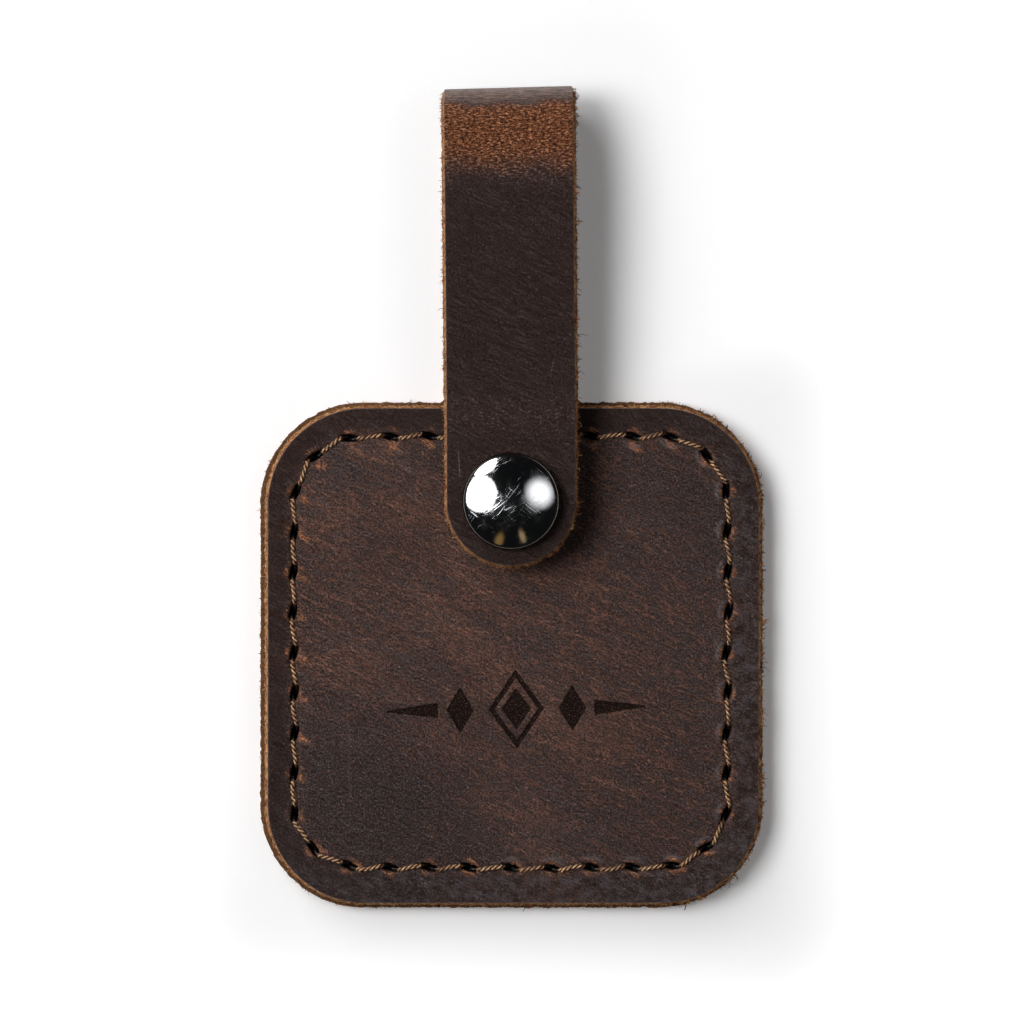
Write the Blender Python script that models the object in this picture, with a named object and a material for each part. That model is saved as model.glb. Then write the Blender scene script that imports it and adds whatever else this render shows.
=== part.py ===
"""A square leather luggage tag: two layers sewn together, and a strap held by a press stud.

The tag lies on its back. X is to the right, Y towards the end of the strap, Z up out of
the front. The origin is under the middle of the whole object.
"""

import math

import bmesh
import bpy
from mathutils import Vector

MM = 0.001

# Tag
TAG_WIDTH = 63.5 * MM
TAG_LENGTH = 64.0 * MM
CORNER_RADIUS = 13.0 * MM
FRONT_THICKNESS = 1.8 * MM
BACK_THICKNESS = 1.8 * MM
FRONT_STEP = 0.35 * MM  # the front layer is cut this much smaller all round
SEAT_GAP = 0.25 * MM  # between pieces that rest on each other

# Cut edge of the leather
EDGE_SLOPE = 0.4 * MM  # how far the cut leans in from the flesh side to the grain side
GRAIN_EDGE_RADIUS = 0.3 * MM
FLESH_EDGE_BREAK = 0.12 * MM

# Seam
STITCH_INSET = 4.3 * MM
BOTTOM_STITCH_INSET = 5.1 * MM  # the seam keeps a wider margin along the bottom
STITCH_PITCH = 5.1 * MM
SLIT_LENGTH = 2.1 * MM
SLIT_WIDTH = 0.95 * MM
SLIT_SLANT = math.radians(14)
THREAD_RADIUS = 0.3 * MM
THREAD_SQUEEZED = 0.18 * MM  # half the thread's width where the two threads cross
THREAD_CROSSING_GAP = 0.08 * MM
THREAD_SPREAD = 0.6 * MM  # from a slit's middle to where a thread enters it
THREAD_BEND = 0.25 * MM
THREAD_PLAY = 0.1 * MM
THREAD_PROUD = 0.25 * MM  # how far a stitch stands above the front
THREAD_SUNK = 0.05 * MM  # how far a stitch lies inside the back
GROOVE_WIDTH = 1.4 * MM

# Strap
STRAP_WIDTH = 16.8 * MM
STRAP_REACH = 39.7 * MM  # from the tag's top edge to the end of the fold
STRAP_FILLET = 0.8 * MM
ROOT_LENGTH = 1.6 * MM  # the strap's stiff root beyond the top edge
FOLD_RADIUS = 5.3 * MM  # outside of the fold
FOLD_PARTS = 4
SEGMENT_GAP = 0.25 * MM
FLAT_AROUND_SNAP = 9.0 * MM

# Press stud
SNAP_SETBACK = 12.5 * MM  # from the tag's top edge to the middle of the press stud
SNAP_PLAY = 0.15 * MM
CAP_RADIUS = 6.1 * MM
CAP_DOME_RADIUS = 13.0 * MM
CAP_EDGE_RADIUS = 0.8 * MM
CAP_SHEET = 0.35 * MM
CAP_LIP_RADIUS = 4.7 * MM
RIVET_SHEET = 0.4 * MM
TUBE_RADIUS = 1.25 * MM
TUBE_BORE_RADIUS = 0.85 * MM
TUBE_FLARE_RADIUS = 1.9 * MM
TUBE_FLARE_HEIGHT = 0.3 * MM
STRAP_HOLE_PLAY = 0.25 * MM
SOCKET_RADIUS = 5.2 * MM
SOCKET_SHEET = 0.35 * MM
SOCKET_EDGE_RADIUS = 0.5 * MM
SOCKET_MOUTH_PLAY = 0.3 * MM
SPRING_WIRE_RADIUS = 0.275 * MM
SPRING_ARM = 1.9 * MM  # half the length of the spring's straight arms
SPRING_TOE_RADIUS = 0.8 * MM
STUD_FLANGE_RADIUS = 4.9 * MM
STUD_SHEET = 0.35 * MM
STUD_NECK_RADIUS = 1.75 * MM
STUD_BULB_RADIUS = 2.15 * MM
STUD_BULB_HEIGHT = 0.45 * MM
STUD_CROWN_HEIGHT = 0.25 * MM
STUD_MOUTH_RADIUS = 1.3 * MM
STUD_BORE_PLAY = 0.2 * MM
STUD_WALL = 0.3 * MM
POST_FLANGE_RADIUS = 4.8 * MM
POST_SHEET = 0.4 * MM
POST_FLARE_RADIUS = 1.6 * MM

CUT_OVERRUN = 1.0 * MM  # how far a cutter runs past what it cuts
MERGE_DISTANCE = 0.0002 * MM

# Fineness of the round shapes
CORNER_STEPS = 9
FILLET_STEPS = 3
SLIT_STEPS = 3
TURN_STEPS = 28
DOME_STEPS = 4
EDGE_STEPS = 5
FOLD_STEPS = 3
LEG_STEPS = 7
TIP_STEPS = 8
THREAD_SIDES = 5
WIRE_SIDES = 6
WIRE_STEPS = 10
TOE_STEPS = 4
SHARP_ANGLE = math.radians(35)

# Colour, roughness and metallic of the materials
DARK_LEATHER = ((0.045, 0.028, 0.022), 0.62, 0.0)
TAN_THREAD = ((0.36, 0.21, 0.12), 0.75, 0.0)
BRIGHT_CHROME = ((0.85, 0.85, 0.86), 0.08, 1.0)
PLAIN_STEEL = ((0.55, 0.54, 0.52), 0.3, 1.0)
SPRING_WIRE = ((0.42, 0.38, 0.3), 0.35, 1.0)

# Places along Y
OVERALL_LENGTH = TAG_LENGTH + STRAP_REACH
BOTTOM_Y = -OVERALL_LENGTH / 2
TOP_Y = BOTTOM_Y + TAG_LENGTH
ROOT_Y = TOP_Y + ROOT_LENGTH
FOLD_Y = OVERALL_LENGTH / 2 - FOLD_RADIUS
SNAP_Y = TOP_Y - SNAP_SETBACK

# Places along Z, from the back up
FRONT_FLESH_Z = BACK_THICKNESS + SEAT_GAP
FRONT_Z = FRONT_FLESH_Z + FRONT_THICKNESS
POST_FLANGE_Z = BACK_THICKNESS + SEAT_GAP
STUD_Z = FRONT_Z + SEAT_GAP
STUD_FLANGE_TOP_Z = STUD_Z + STUD_SHEET
SOCKET_Z = STUD_FLANGE_TOP_Z + SEAT_GAP
SOCKET_FLOOR_Z = SOCKET_Z + SOCKET_SHEET
SPRING_Z = SOCKET_FLOOR_Z + SNAP_PLAY + SPRING_WIRE_RADIUS
NECK_TOP_Z = SPRING_Z
BULB_Z = NECK_TOP_Z + STUD_BULB_HEIGHT
CROWN_Z = BULB_Z + STUD_CROWN_HEIGHT
FLARE_Z = CROWN_Z + SNAP_PLAY
SOCKET_ROOF_Z = FLARE_Z + TUBE_FLARE_HEIGHT + SNAP_PLAY
SOCKET_TOP_Z = SOCKET_ROOF_Z + SOCKET_SHEET
STRAP_FLESH_Z = SOCKET_TOP_Z + SEAT_GAP
STRAP_Z = STRAP_FLESH_Z + BACK_THICKNESS
CAP_Z = STRAP_Z + SEAT_GAP
THREAD_FRONT_Z = FRONT_Z + THREAD_PROUD - THREAD_RADIUS
THREAD_BACK_Z = THREAD_SUNK + THREAD_RADIUS


def clear_scene():
    for thing in list(bpy.data.objects):
        bpy.data.objects.remove(thing, do_unlink=True)


def material(name, look):
    colour, roughness, metallic = look
    made = bpy.data.materials.new(name)
    made.use_nodes = True
    shader = made.node_tree.nodes["Principled BSDF"]
    shader.inputs["Base Color"].default_value = (*colour, 1)
    shader.inputs["Roughness"].default_value = roughness
    shader.inputs["Metallic"].default_value = metallic
    return made


def pivot(name, place, parent=None):
    """An empty on a joint's axis."""
    made = bpy.data.objects.new(name, None)
    bpy.context.collection.objects.link(made)
    made.parent = parent
    made.location = Vector(place) - (Vector(parent["place"]) if parent else Vector())
    made["place"] = Vector(place)
    return made


def add_object(name, shape, look=None, parent=None, smooth=False):
    """Turns a bmesh that is drawn in place into an object with its origin on its parent's axis."""
    bmesh.ops.recalc_face_normals(shape, faces=shape.faces[:])
    if parent:
        bmesh.ops.translate(shape, verts=shape.verts[:], vec=-Vector(parent["place"]))
    mesh = bpy.data.meshes.new(name)
    shape.to_mesh(mesh)
    shape.free()
    made = bpy.data.objects.new(name, mesh)
    bpy.context.collection.objects.link(made)
    made.parent = parent
    if smooth:
        mesh.shade_smooth()
        mesh.set_sharp_from_angle(angle=SHARP_ANGLE)
    if look:
        mesh.materials.append(material(name, look))
    else:
        made.hide_render = True
        made.display_type = "WIRE"
    return made


def cut(body, cutter):
    made = body.modifiers.new(cutter.name, "BOOLEAN")
    made.operation = "DIFFERENCE"
    made.object = cutter


def join_rings(shape, rings, closed=False):
    """Skins a run of rings that have the same number of points, and caps or closes it."""
    loops = [[shape.verts.new(point) for point in ring] for ring in rings]
    pairs = list(zip(loops, loops[1:]))
    if closed:
        pairs.append((loops[-1], loops[0]))
    for one, other in pairs:
        for i in range(len(one)):
            j = (i + 1) % len(one)
            shape.faces.new((one[i], one[j], other[j], other[i]))
    if not closed:
        shape.faces.new(loops[0])
        shape.faces.new(loops[-1])
    return shape


def arc(centre_x, centre_y, radius, start, end, steps):
    """Points on an arc, both ends among them."""
    angles = [start + (end - start) * i / steps for i in range(steps + 1)]
    return [(centre_x + radius * math.cos(a), centre_y + radius * math.sin(a)) for a in angles]


def edge_profile(thickness):
    """How far in, and how deep below the grain, the leather's cut edge runs."""
    radius = GRAIN_EDGE_RADIUS
    corner = [
        (EDGE_SLOPE + radius - radius * math.sin(a), radius - radius * math.cos(a))
        for a in (0, math.pi / 4, math.pi / 2)
    ]
    return corner + [(0, thickness - FLESH_EDGE_BREAK), (FLESH_EDGE_BREAK, thickness)]


def round_rectangle(half_width, low, high, radius):
    """A rectangle with round corners, centred on X = 0, anticlockwise from its right side."""
    points = []
    for turn, (side, y) in enumerate(((1, high), (-1, high), (-1, low), (1, low))):
        start = turn * math.pi / 2
        middle_y = y - radius if y == high else y + radius
        middle_x = side * (half_width - radius)
        points += arc(middle_x, middle_y, radius, start, start + math.pi / 2, CORNER_STEPS)
    return points


def front_outline(inset):
    low, high = BOTTOM_Y + inset, TOP_Y - inset
    return round_rectangle(TAG_WIDTH / 2 - inset, low, high, CORNER_RADIUS - inset)


def back_outline(inset):
    """The tag's outline with the strap's root at the top, its end square to the strap."""
    half_width = TAG_WIDTH / 2 - CORNER_RADIUS
    low, high = BOTTOM_Y + CORNER_RADIUS, TOP_Y - CORNER_RADIUS
    radius = CORNER_RADIUS - inset
    quarter = math.pi / 2
    right = arc(half_width, low, radius, -quarter, 0, CORNER_STEPS)
    right += arc(half_width, high, radius, 0, quarter, CORNER_STEPS)
    fillet_x = STRAP_WIDTH / 2 + STRAP_FILLET
    fillet_y = TOP_Y + STRAP_FILLET
    right += arc(fillet_x, fillet_y, STRAP_FILLET + inset, -quarter, -2 * quarter, FILLET_STEPS)
    right.append((STRAP_WIDTH / 2 - inset, ROOT_Y - SEGMENT_GAP / 2))
    return right + [(-x, y) for x, y in reversed(right)]


def seam_outline(offset):
    """The line of the seam, or a line beside it, further out by the offset."""
    low, high = BOTTOM_Y + BOTTOM_STITCH_INSET - offset, TOP_Y - STITCH_INSET + offset
    half_width = TAG_WIDTH / 2 - STITCH_INSET + offset
    return round_rectangle(half_width, low, high, CORNER_RADIUS - STITCH_INSET + offset)


def seam_runs():
    """The seam's straight runs, of which the top one is in two halves, and its corner radius."""
    across = TAG_WIDTH - 2 * CORNER_RADIUS
    radius = CORNER_RADIUS - STITCH_INSET
    up = TAG_LENGTH - STITCH_INSET - BOTTOM_STITCH_INSET - 2 * radius
    return (across / 2, up, across, up, across / 2), radius


def seam_point(distance):
    """The place on the seam and its direction, anticlockwise from the middle of the top edge."""
    runs, radius = seam_runs()
    bend = radius * math.pi / 2
    heading = math.pi
    x, y = 0.0, TOP_Y - STITCH_INSET
    for run in runs:
        step = min(distance, run)
        x, y = x + step * math.cos(heading), y + step * math.sin(heading)
        distance -= step
        if distance <= 0:
            return x, y, heading
        step = min(distance, bend)
        turn = step / radius
        middle_x, middle_y = x - radius * math.sin(heading), y + radius * math.cos(heading)
        heading += turn
        x, y = middle_x + radius * math.sin(heading), middle_y - radius * math.cos(heading)
        distance -= step
        if distance <= 0:
            return x, y, heading
    return x, y, heading


def seam_length():
    runs, radius = seam_runs()
    return sum(runs) + math.tau * radius


def stitch_count():
    """An even number, so that two threads that change sides at each slit come round again."""
    return 2 * round(seam_length() / (2 * STITCH_PITCH))


def slit_frame(index):
    """A slit's middle, the direction along it and the direction across it, towards the edge."""
    x, y, heading = seam_point(seam_length() * (index % stitch_count()) / stitch_count())
    heading -= SLIT_SLANT
    along = Vector((math.cos(heading), math.sin(heading), 0))
    across = Vector((math.sin(heading), -math.cos(heading), 0))
    return Vector((x, y, 0)), along, across


def slit_cutter():
    """All the slits of the seam, each a long hole with round ends through both layers."""
    shape = bmesh.new()
    radius = SLIT_WIDTH / 2
    reach = SLIT_LENGTH / 2 - radius
    quarter = math.pi / 2
    outline = arc(reach, 0, radius, -quarter, quarter, SLIT_STEPS)
    outline += arc(-reach, 0, radius, quarter, 3 * quarter, SLIT_STEPS)
    for index in range(stitch_count()):
        middle, along, across = slit_frame(index)
        flat = [middle + u * along + v * across for u, v in outline]
        low, high = Vector((0, 0, -CUT_OVERRUN)), Vector((0, 0, FRONT_Z + CUT_OVERRUN))
        join_rings(shape, [[p + low for p in flat], [p + high for p in flat]])
    return add_object("slit_cutter", shape)


def groove_cutter(name, low, high):
    """The furrow that the stitches lie in, all round the tag."""
    shape = bmesh.new()
    outer = seam_outline(GROOVE_WIDTH / 2)
    inner = seam_outline(-GROOVE_WIDTH / 2)
    rings = [
        [(*point, z) for point in outline]
        for outline, z in ((outer, low), (outer, high), (inner, high), (inner, low))
    ]
    join_rings(shape, rings, closed=True)
    return add_object(name, shape)


def turned(name, profile, y, look=None, parent=None, closed=False):
    """A round piece, turned about an upright axis at the given place from (radius, height) points."""
    shape = bmesh.new()
    points = [shape.verts.new((r, y, z)) for r, z in profile]
    edges = [shape.edges.new(pair) for pair in zip(points, points[1:])]
    if closed:
        edges.append(shape.edges.new((points[-1], points[0])))
    bmesh.ops.spin(
        shape,
        geom=points + edges,
        cent=(0, y, 0),
        axis=(0, 0, 1),
        angle=math.tau,
        steps=TURN_STEPS,
        use_merge=True,
    )
    bmesh.ops.remove_doubles(shape, verts=shape.verts[:], dist=MERGE_DISTANCE)
    return add_object(name, shape, look, parent, smooth=True)


def front_panel():
    shape = bmesh.new()
    rings = [
        [(*point, FRONT_Z - depth) for point in front_outline(FRONT_STEP + inset)]
        for inset, depth in edge_profile(FRONT_THICKNESS)
    ]
    panel = add_object("front_panel", join_rings(shape, rings), DARK_LEATHER)
    groove_floor = THREAD_FRONT_Z - THREAD_RADIUS - THREAD_PLAY
    cut(panel, groove_cutter("front_groove_cutter", groove_floor, FRONT_Z + CUT_OVERRUN))
    cut(panel, bpy.data.objects["slit_cutter"])
    pocket_radius = POST_FLANGE_RADIUS + SEAT_GAP
    pocket_top = POST_FLANGE_Z + POST_SHEET + SEAT_GAP
    hole_radius = TUBE_RADIUS + STRAP_HOLE_PLAY
    seat = [
        (0, FRONT_FLESH_Z - CUT_OVERRUN),
        (pocket_radius, FRONT_FLESH_Z - CUT_OVERRUN),
        (pocket_radius, pocket_top),
        (hole_radius, pocket_top),
        (hole_radius, FRONT_Z + CUT_OVERRUN),
        (0, FRONT_Z + CUT_OVERRUN),
    ]
    cut(panel, turned("post_seat_cutter", seat, SNAP_Y))
    return panel


def back_panel():
    shape = bmesh.new()
    rings = [
        [(*point, depth) for point in back_outline(inset)]
        for inset, depth in edge_profile(BACK_THICKNESS)
    ]
    panel = add_object("back_panel", join_rings(shape, rings), DARK_LEATHER)
    groove_roof = THREAD_BACK_Z + THREAD_RADIUS + THREAD_PLAY
    cut(panel, groove_cutter("back_groove_cutter", -CUT_OVERRUN, groove_roof))
    cut(panel, bpy.data.objects["slit_cutter"])
    return panel


def thread_ring(place, direction, across, half_width):
    """A section of thread, which may be squeezed across."""
    side = (across - direction * across.dot(direction)).normalized()
    up = direction.cross(side)
    angles = [math.tau * i / THREAD_SIDES for i in range(THREAD_SIDES)]
    return [
        place + side * half_width * math.cos(a) + up * THREAD_RADIUS * math.sin(a)
        for a in angles
    ]


def sewing_thread(name, first_down):
    """A thread that changes sides at every slit; the other one does the same a slit later.

    In a slit it goes from the near end on one face to the far end on the other. The two
    threads cross in the middle, each squeezed and pushed to its own side of the slit.
    """
    lean = THREAD_SQUEEZED + THREAD_CROSSING_GAP / 2
    middle_z = (THREAD_FRONT_Z + THREAD_BACK_Z) / 2
    crossing_reach = THREAD_SPREAD / 3
    crossing_height = 2 * THREAD_RADIUS
    route = []
    for index in range(stitch_count()):
        middle, along, across = slit_frame(index)
        down = (index % 2 == 0) == first_down
        turn = 1 if down else -1
        before, after = THREAD_FRONT_Z, THREAD_BACK_Z
        if not down:
            before, after = after, before
        side = -lean if down else lean
        stations = (
            (-THREAD_SPREAD - THREAD_BEND, 0, before, THREAD_RADIUS),
            (-THREAD_SPREAD, 0, before - turn * THREAD_BEND, THREAD_RADIUS),
            (-crossing_reach, side, middle_z + turn * crossing_height, THREAD_SQUEEZED),
            (crossing_reach, side, middle_z - turn * crossing_height, THREAD_SQUEEZED),
            (THREAD_SPREAD, 0, after + turn * THREAD_BEND, THREAD_RADIUS),
            (THREAD_SPREAD + THREAD_BEND, 0, after, THREAD_RADIUS),
        )
        for u, v, z, half_width in stations:
            place = middle + u * along + v * across + Vector((0, 0, z))
            route.append((place, across, half_width))
    rings = []
    for i, (place, across, half_width) in enumerate(route):
        ahead = (route[(i + 1) % len(route)][0] - place).normalized()
        behind = (place - route[i - 1][0]).normalized()
        rings.append(thread_ring(place, (ahead + behind).normalized(), across, half_width))
    shape = join_rings(bmesh.new(), rings, closed=True)
    return add_object(name, shape, TAN_THREAD, smooth=True)


class Station:
    """A place on the strap's grain side, with the ways along the strap and into the leather."""

    def __init__(self, y, z, along, inward):
        self.place = Vector((0, y, z))
        self.along = Vector((0, *along))
        self.inward = Vector((0, *inward))

    def moved(self, distance):
        place = self.place + self.along * distance
        return Station(place.y, place.z, self.along[1:], self.inward[1:])

    def section(self, bend=0.0):
        """The strap's section; at the round tip the points run in towards the tip's middle."""
        right = []
        for inset, depth in edge_profile(BACK_THICKNESS):
            reach = STRAP_WIDTH / 2 - inset
            x = reach * math.cos(bend)
            ahead = reach * math.sin(bend)
            right.append(self.place + Vector((x, 0, 0)) + self.inward * depth + self.along * ahead)
        left = [Vector((-p.x, p.y, p.z)) for p in reversed(right)]
        return right + left


def leg_station(y):
    """On the straight rear leg, which lies on its grain side."""
    return Station(y, 0, (1, 0), (0, 1))


def fold_station(angle):
    """On the fold, where the angle runs from the rear leg at 0 to the front leg at pi."""
    along = (math.cos(angle), math.sin(angle))
    inward = (-math.sin(angle), math.cos(angle))
    y = FOLD_Y + FOLD_RADIUS * math.sin(angle)
    z = FOLD_RADIUS - FOLD_RADIUS * math.cos(angle)
    return Station(y, z, along, inward)


def front_leg_station(y):
    """On the front leg, which comes down gently from the fold and is flat round the press stud."""
    crown, flat_y = 2 * FOLD_RADIUS, SNAP_Y + FLAT_AROUND_SNAP
    run = FOLD_Y - flat_y
    share = min(max((FOLD_Y - y) / run, 0), 1)
    fall = (crown - STRAP_Z) * share * share * (3 - 2 * share)
    slope = (crown - STRAP_Z) * 6 * share * (1 - share) / run
    along = Vector((-1, -slope)).normalized()
    return Station(y, crown - fall, along, (-along.y, along.x))


def hinge_angle(index):
    """Where on the fold the strap bends; the first place is next to the rear leg."""
    return math.pi * (index + 0.5) / (FOLD_PARTS + 1)


def strap_piece(name, stations, parent, tip=()):
    rings = [station.section() for station in stations]
    rings += [station.section(bend=angle) for station, angle in tip]
    shape = join_rings(bmesh.new(), rings)
    return add_object(name, shape, DARK_LEATHER, parent, smooth=True)


def strap_rear_leg(parent):
    bend = hinge_angle(0)
    stations = [leg_station(ROOT_Y + SEGMENT_GAP / 2)]
    stations += [fold_station(bend * i / FOLD_STEPS) for i in range(FOLD_STEPS)]
    stations.append(fold_station(bend).moved(-SEGMENT_GAP / 2))
    return strap_piece("strap_rear_leg", stations, parent)


def strap_fold(index, parent):
    start, end = hinge_angle(index), hinge_angle(index + 1)
    stations = [fold_station(start).moved(SEGMENT_GAP / 2)]
    stations += [fold_station(start + (end - start) * i / FOLD_STEPS) for i in range(1, FOLD_STEPS)]
    stations.append(fold_station(end).moved(-SEGMENT_GAP / 2))
    return strap_piece(f"strap_fold_{index + 1}", stations, parent)


def strap_front_leg(parent):
    bend = hinge_angle(FOLD_PARTS)
    stations = [fold_station(bend).moved(SEGMENT_GAP / 2)]
    stations += [
        fold_station(bend + (math.pi - bend) * i / FOLD_STEPS) for i in range(1, FOLD_STEPS)
    ]
    flat_y = SNAP_Y + FLAT_AROUND_SNAP
    stations += [
        front_leg_station(FOLD_Y + (flat_y - FOLD_Y) * i / LEG_STEPS) for i in range(LEG_STEPS + 1)
    ]
    end = front_leg_station(SNAP_Y)
    tip = [(end, math.pi / 2 * i / (TIP_STEPS + 0.5)) for i in range(TIP_STEPS + 1)]
    leg = strap_piece("strap_front_leg", stations, parent, tip)
    radius = TUBE_RADIUS + STRAP_HOLE_PLAY
    low, high = STRAP_FLESH_Z - CUT_OVERRUN, STRAP_Z + CUT_OVERRUN
    hole = [(0, low), (radius, low), (radius, high), (0, high)]
    cut(leg, turned("strap_hole_cutter", hole, SNAP_Y))
    return leg


def cap_shell(parent):
    """The domed cap, its edge rolled round and turned in under the rivet's disc."""
    ring = CAP_RADIUS - CAP_EDGE_RADIUS
    edge_z = CAP_Z + CAP_EDGE_RADIUS
    dome_z = edge_z - math.sqrt((CAP_DOME_RADIUS - CAP_EDGE_RADIUS) ** 2 - ring**2)
    meeting = math.atan2(ring, edge_z - dome_z)

    def side(dome_radius, edge_radius):
        dome = [meeting * i / DOME_STEPS for i in range(DOME_STEPS)]
        edge = [meeting + (math.pi - meeting) * i / EDGE_STEPS for i in range(EDGE_STEPS + 1)]
        points = [(dome_radius * math.sin(a), dome_z + dome_radius * math.cos(a)) for a in dome]
        points += [(ring + edge_radius * math.sin(a), edge_z + edge_radius * math.cos(a)) for a in edge]
        return points

    outside = side(CAP_DOME_RADIUS, CAP_EDGE_RADIUS)
    inside = side(CAP_DOME_RADIUS - CAP_SHEET, CAP_EDGE_RADIUS - CAP_SHEET)
    lip = [(CAP_LIP_RADIUS, CAP_Z), (CAP_LIP_RADIUS, CAP_Z + CAP_SHEET)]
    profile = outside + lip + inside[::-1]
    return turned("cap_shell", profile, SNAP_Y, BRIGHT_CHROME, parent)


def cap_rivet(parent):
    """The disc inside the cap, with the tube that goes through the strap and is spread below."""
    step = CAP_LIP_RADIUS - SNAP_PLAY
    rim = CAP_RADIUS - CAP_EDGE_RADIUS
    rim_z = CAP_Z + CAP_SHEET + SNAP_PLAY
    flare_top = FLARE_Z + TUBE_FLARE_HEIGHT
    profile = [
        (0, CAP_Z + RIVET_SHEET),
        (step - RIVET_SHEET, CAP_Z + RIVET_SHEET),
        (step - RIVET_SHEET, rim_z + RIVET_SHEET),
        (rim, rim_z + RIVET_SHEET),
        (rim, rim_z),
        (step, rim_z),
        (step, CAP_Z),
        (TUBE_RADIUS, CAP_Z),
        (TUBE_RADIUS, flare_top),
        (TUBE_FLARE_RADIUS, flare_top),
        (TUBE_FLARE_RADIUS, flare_top - TUBE_FLARE_HEIGHT / 2),
        (TUBE_RADIUS, FLARE_Z),
        (TUBE_BORE_RADIUS, flare_top - TUBE_FLARE_HEIGHT / 2),
        (TUBE_BORE_RADIUS, CAP_Z),
        (0, CAP_Z),
    ]
    return turned("cap_rivet", profile, SNAP_Y, PLAIN_STEEL, parent)


def snap_socket(parent):
    """A drum of thin sheet with the stud's mouth below and the rivet's hole above."""
    mouth = STUD_BULB_RADIUS + SOCKET_MOUTH_PLAY
    hole = TUBE_RADIUS + SNAP_PLAY
    inner = SOCKET_RADIUS - SOCKET_SHEET
    ring = SOCKET_RADIUS - SOCKET_EDGE_RADIUS
    quarter = math.pi / 2
    top = arc(ring, SOCKET_TOP_Z - SOCKET_EDGE_RADIUS, SOCKET_EDGE_RADIUS, quarter, 0, FILLET_STEPS)
    low = arc(ring, SOCKET_Z + SOCKET_EDGE_RADIUS, SOCKET_EDGE_RADIUS, 0, -quarter, FILLET_STEPS)
    profile = [(hole, SOCKET_TOP_Z)] + top + low
    profile += [(mouth + SOCKET_SHEET, SOCKET_Z), (mouth, SOCKET_Z + SOCKET_SHEET / 2)]
    profile += [(mouth, SOCKET_FLOOR_Z), (inner, SOCKET_FLOOR_Z)]
    profile += [(inner, SOCKET_ROOF_Z), (hole, SOCKET_ROOF_Z)]
    return turned("snap_socket", profile, SNAP_Y, PLAIN_STEEL, parent, closed=True)


def snap_spring(parent):
    """A hairpin of wire whose arms pass on both sides of the stud's neck, under the bulb."""
    reach = STUD_NECK_RADIUS + SNAP_PLAY + SPRING_WIRE_RADIUS
    bow = arc(0, -SPRING_ARM, reach, math.pi, math.tau, WIRE_STEPS)
    toe_x = reach + SPRING_TOE_RADIUS
    toe = arc(toe_x, SPRING_ARM, SPRING_TOE_RADIUS, math.pi, math.pi / 2, TOE_STEPS)
    route = [(-x, y) for x, y in reversed(toe)] + bow + toe
    points = [Vector((x, SNAP_Y + y, SPRING_Z)) for x, y in route]
    rings = []
    for i, point in enumerate(points):
        ahead = points[min(i + 1, len(points) - 1)] - points[max(i - 1, 0)]
        side = ahead.normalized().cross(Vector((0, 0, 1)))
        angles = [math.tau * k / WIRE_SIDES for k in range(WIRE_SIDES)]
        ring = [
            point
            + side * SPRING_WIRE_RADIUS * math.cos(a)
            + Vector((0, 0, SPRING_WIRE_RADIUS * math.sin(a)))
            for a in angles
        ]
        rings.append(ring)
    shape = join_rings(bmesh.new(), rings)
    return add_object("snap_spring", shape, SPRING_WIRE, parent, smooth=True)


def snap_stud():
    """A thin shell: a flange on the leather, a neck, and a bulb that is open at the crown."""
    bore = TUBE_RADIUS + STUD_BORE_PLAY
    neck_foot = STUD_NECK_RADIUS + STUD_SHEET
    profile = [
        (bore, STUD_Z),
        (STUD_FLANGE_RADIUS - STUD_SHEET / 2, STUD_Z),
        (STUD_FLANGE_RADIUS, STUD_Z + STUD_SHEET / 2),
        (STUD_FLANGE_RADIUS - STUD_SHEET / 2, STUD_FLANGE_TOP_Z),
        (neck_foot, STUD_FLANGE_TOP_Z),
        (STUD_NECK_RADIUS, STUD_FLANGE_TOP_Z + STUD_SHEET),
        (STUD_NECK_RADIUS, NECK_TOP_Z),
        (STUD_BULB_RADIUS, BULB_Z),
        ((STUD_BULB_RADIUS + STUD_MOUTH_RADIUS) / 2 + STUD_WALL / 2, CROWN_Z - STUD_CROWN_HEIGHT / 5),
        (STUD_MOUTH_RADIUS + STUD_WALL / 2, CROWN_Z),
        (STUD_MOUTH_RADIUS, CROWN_Z - STUD_CROWN_HEIGHT / 2),
        (STUD_MOUTH_RADIUS + STUD_WALL, BULB_Z),
        (STUD_BULB_RADIUS - STUD_WALL, BULB_Z - STUD_WALL / 3),
        (bore, NECK_TOP_Z),
    ]
    return turned("snap_stud", profile, SNAP_Y, PLAIN_STEEL, closed=True)


def snap_post():
    """A flanged tube: the flange lies between the layers, the end is spread in the stud."""
    spread_z = BULB_Z - STUD_WALL
    profile = [
        (TUBE_BORE_RADIUS, POST_FLANGE_Z),
        (POST_FLANGE_RADIUS, POST_FLANGE_Z),
        (POST_FLANGE_RADIUS, POST_FLANGE_Z + POST_SHEET),
        (TUBE_RADIUS, POST_FLANGE_Z + POST_SHEET),
        (TUBE_RADIUS, NECK_TOP_Z - SNAP_PLAY),
        (POST_FLARE_RADIUS, spread_z),
        (TUBE_RADIUS, BULB_Z - STUD_WALL / 2),
        (TUBE_BORE_RADIUS, NECK_TOP_Z - SNAP_PLAY),
    ]
    return turned("snap_post", profile, SNAP_Y, PLAIN_STEEL, closed=True)


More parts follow.
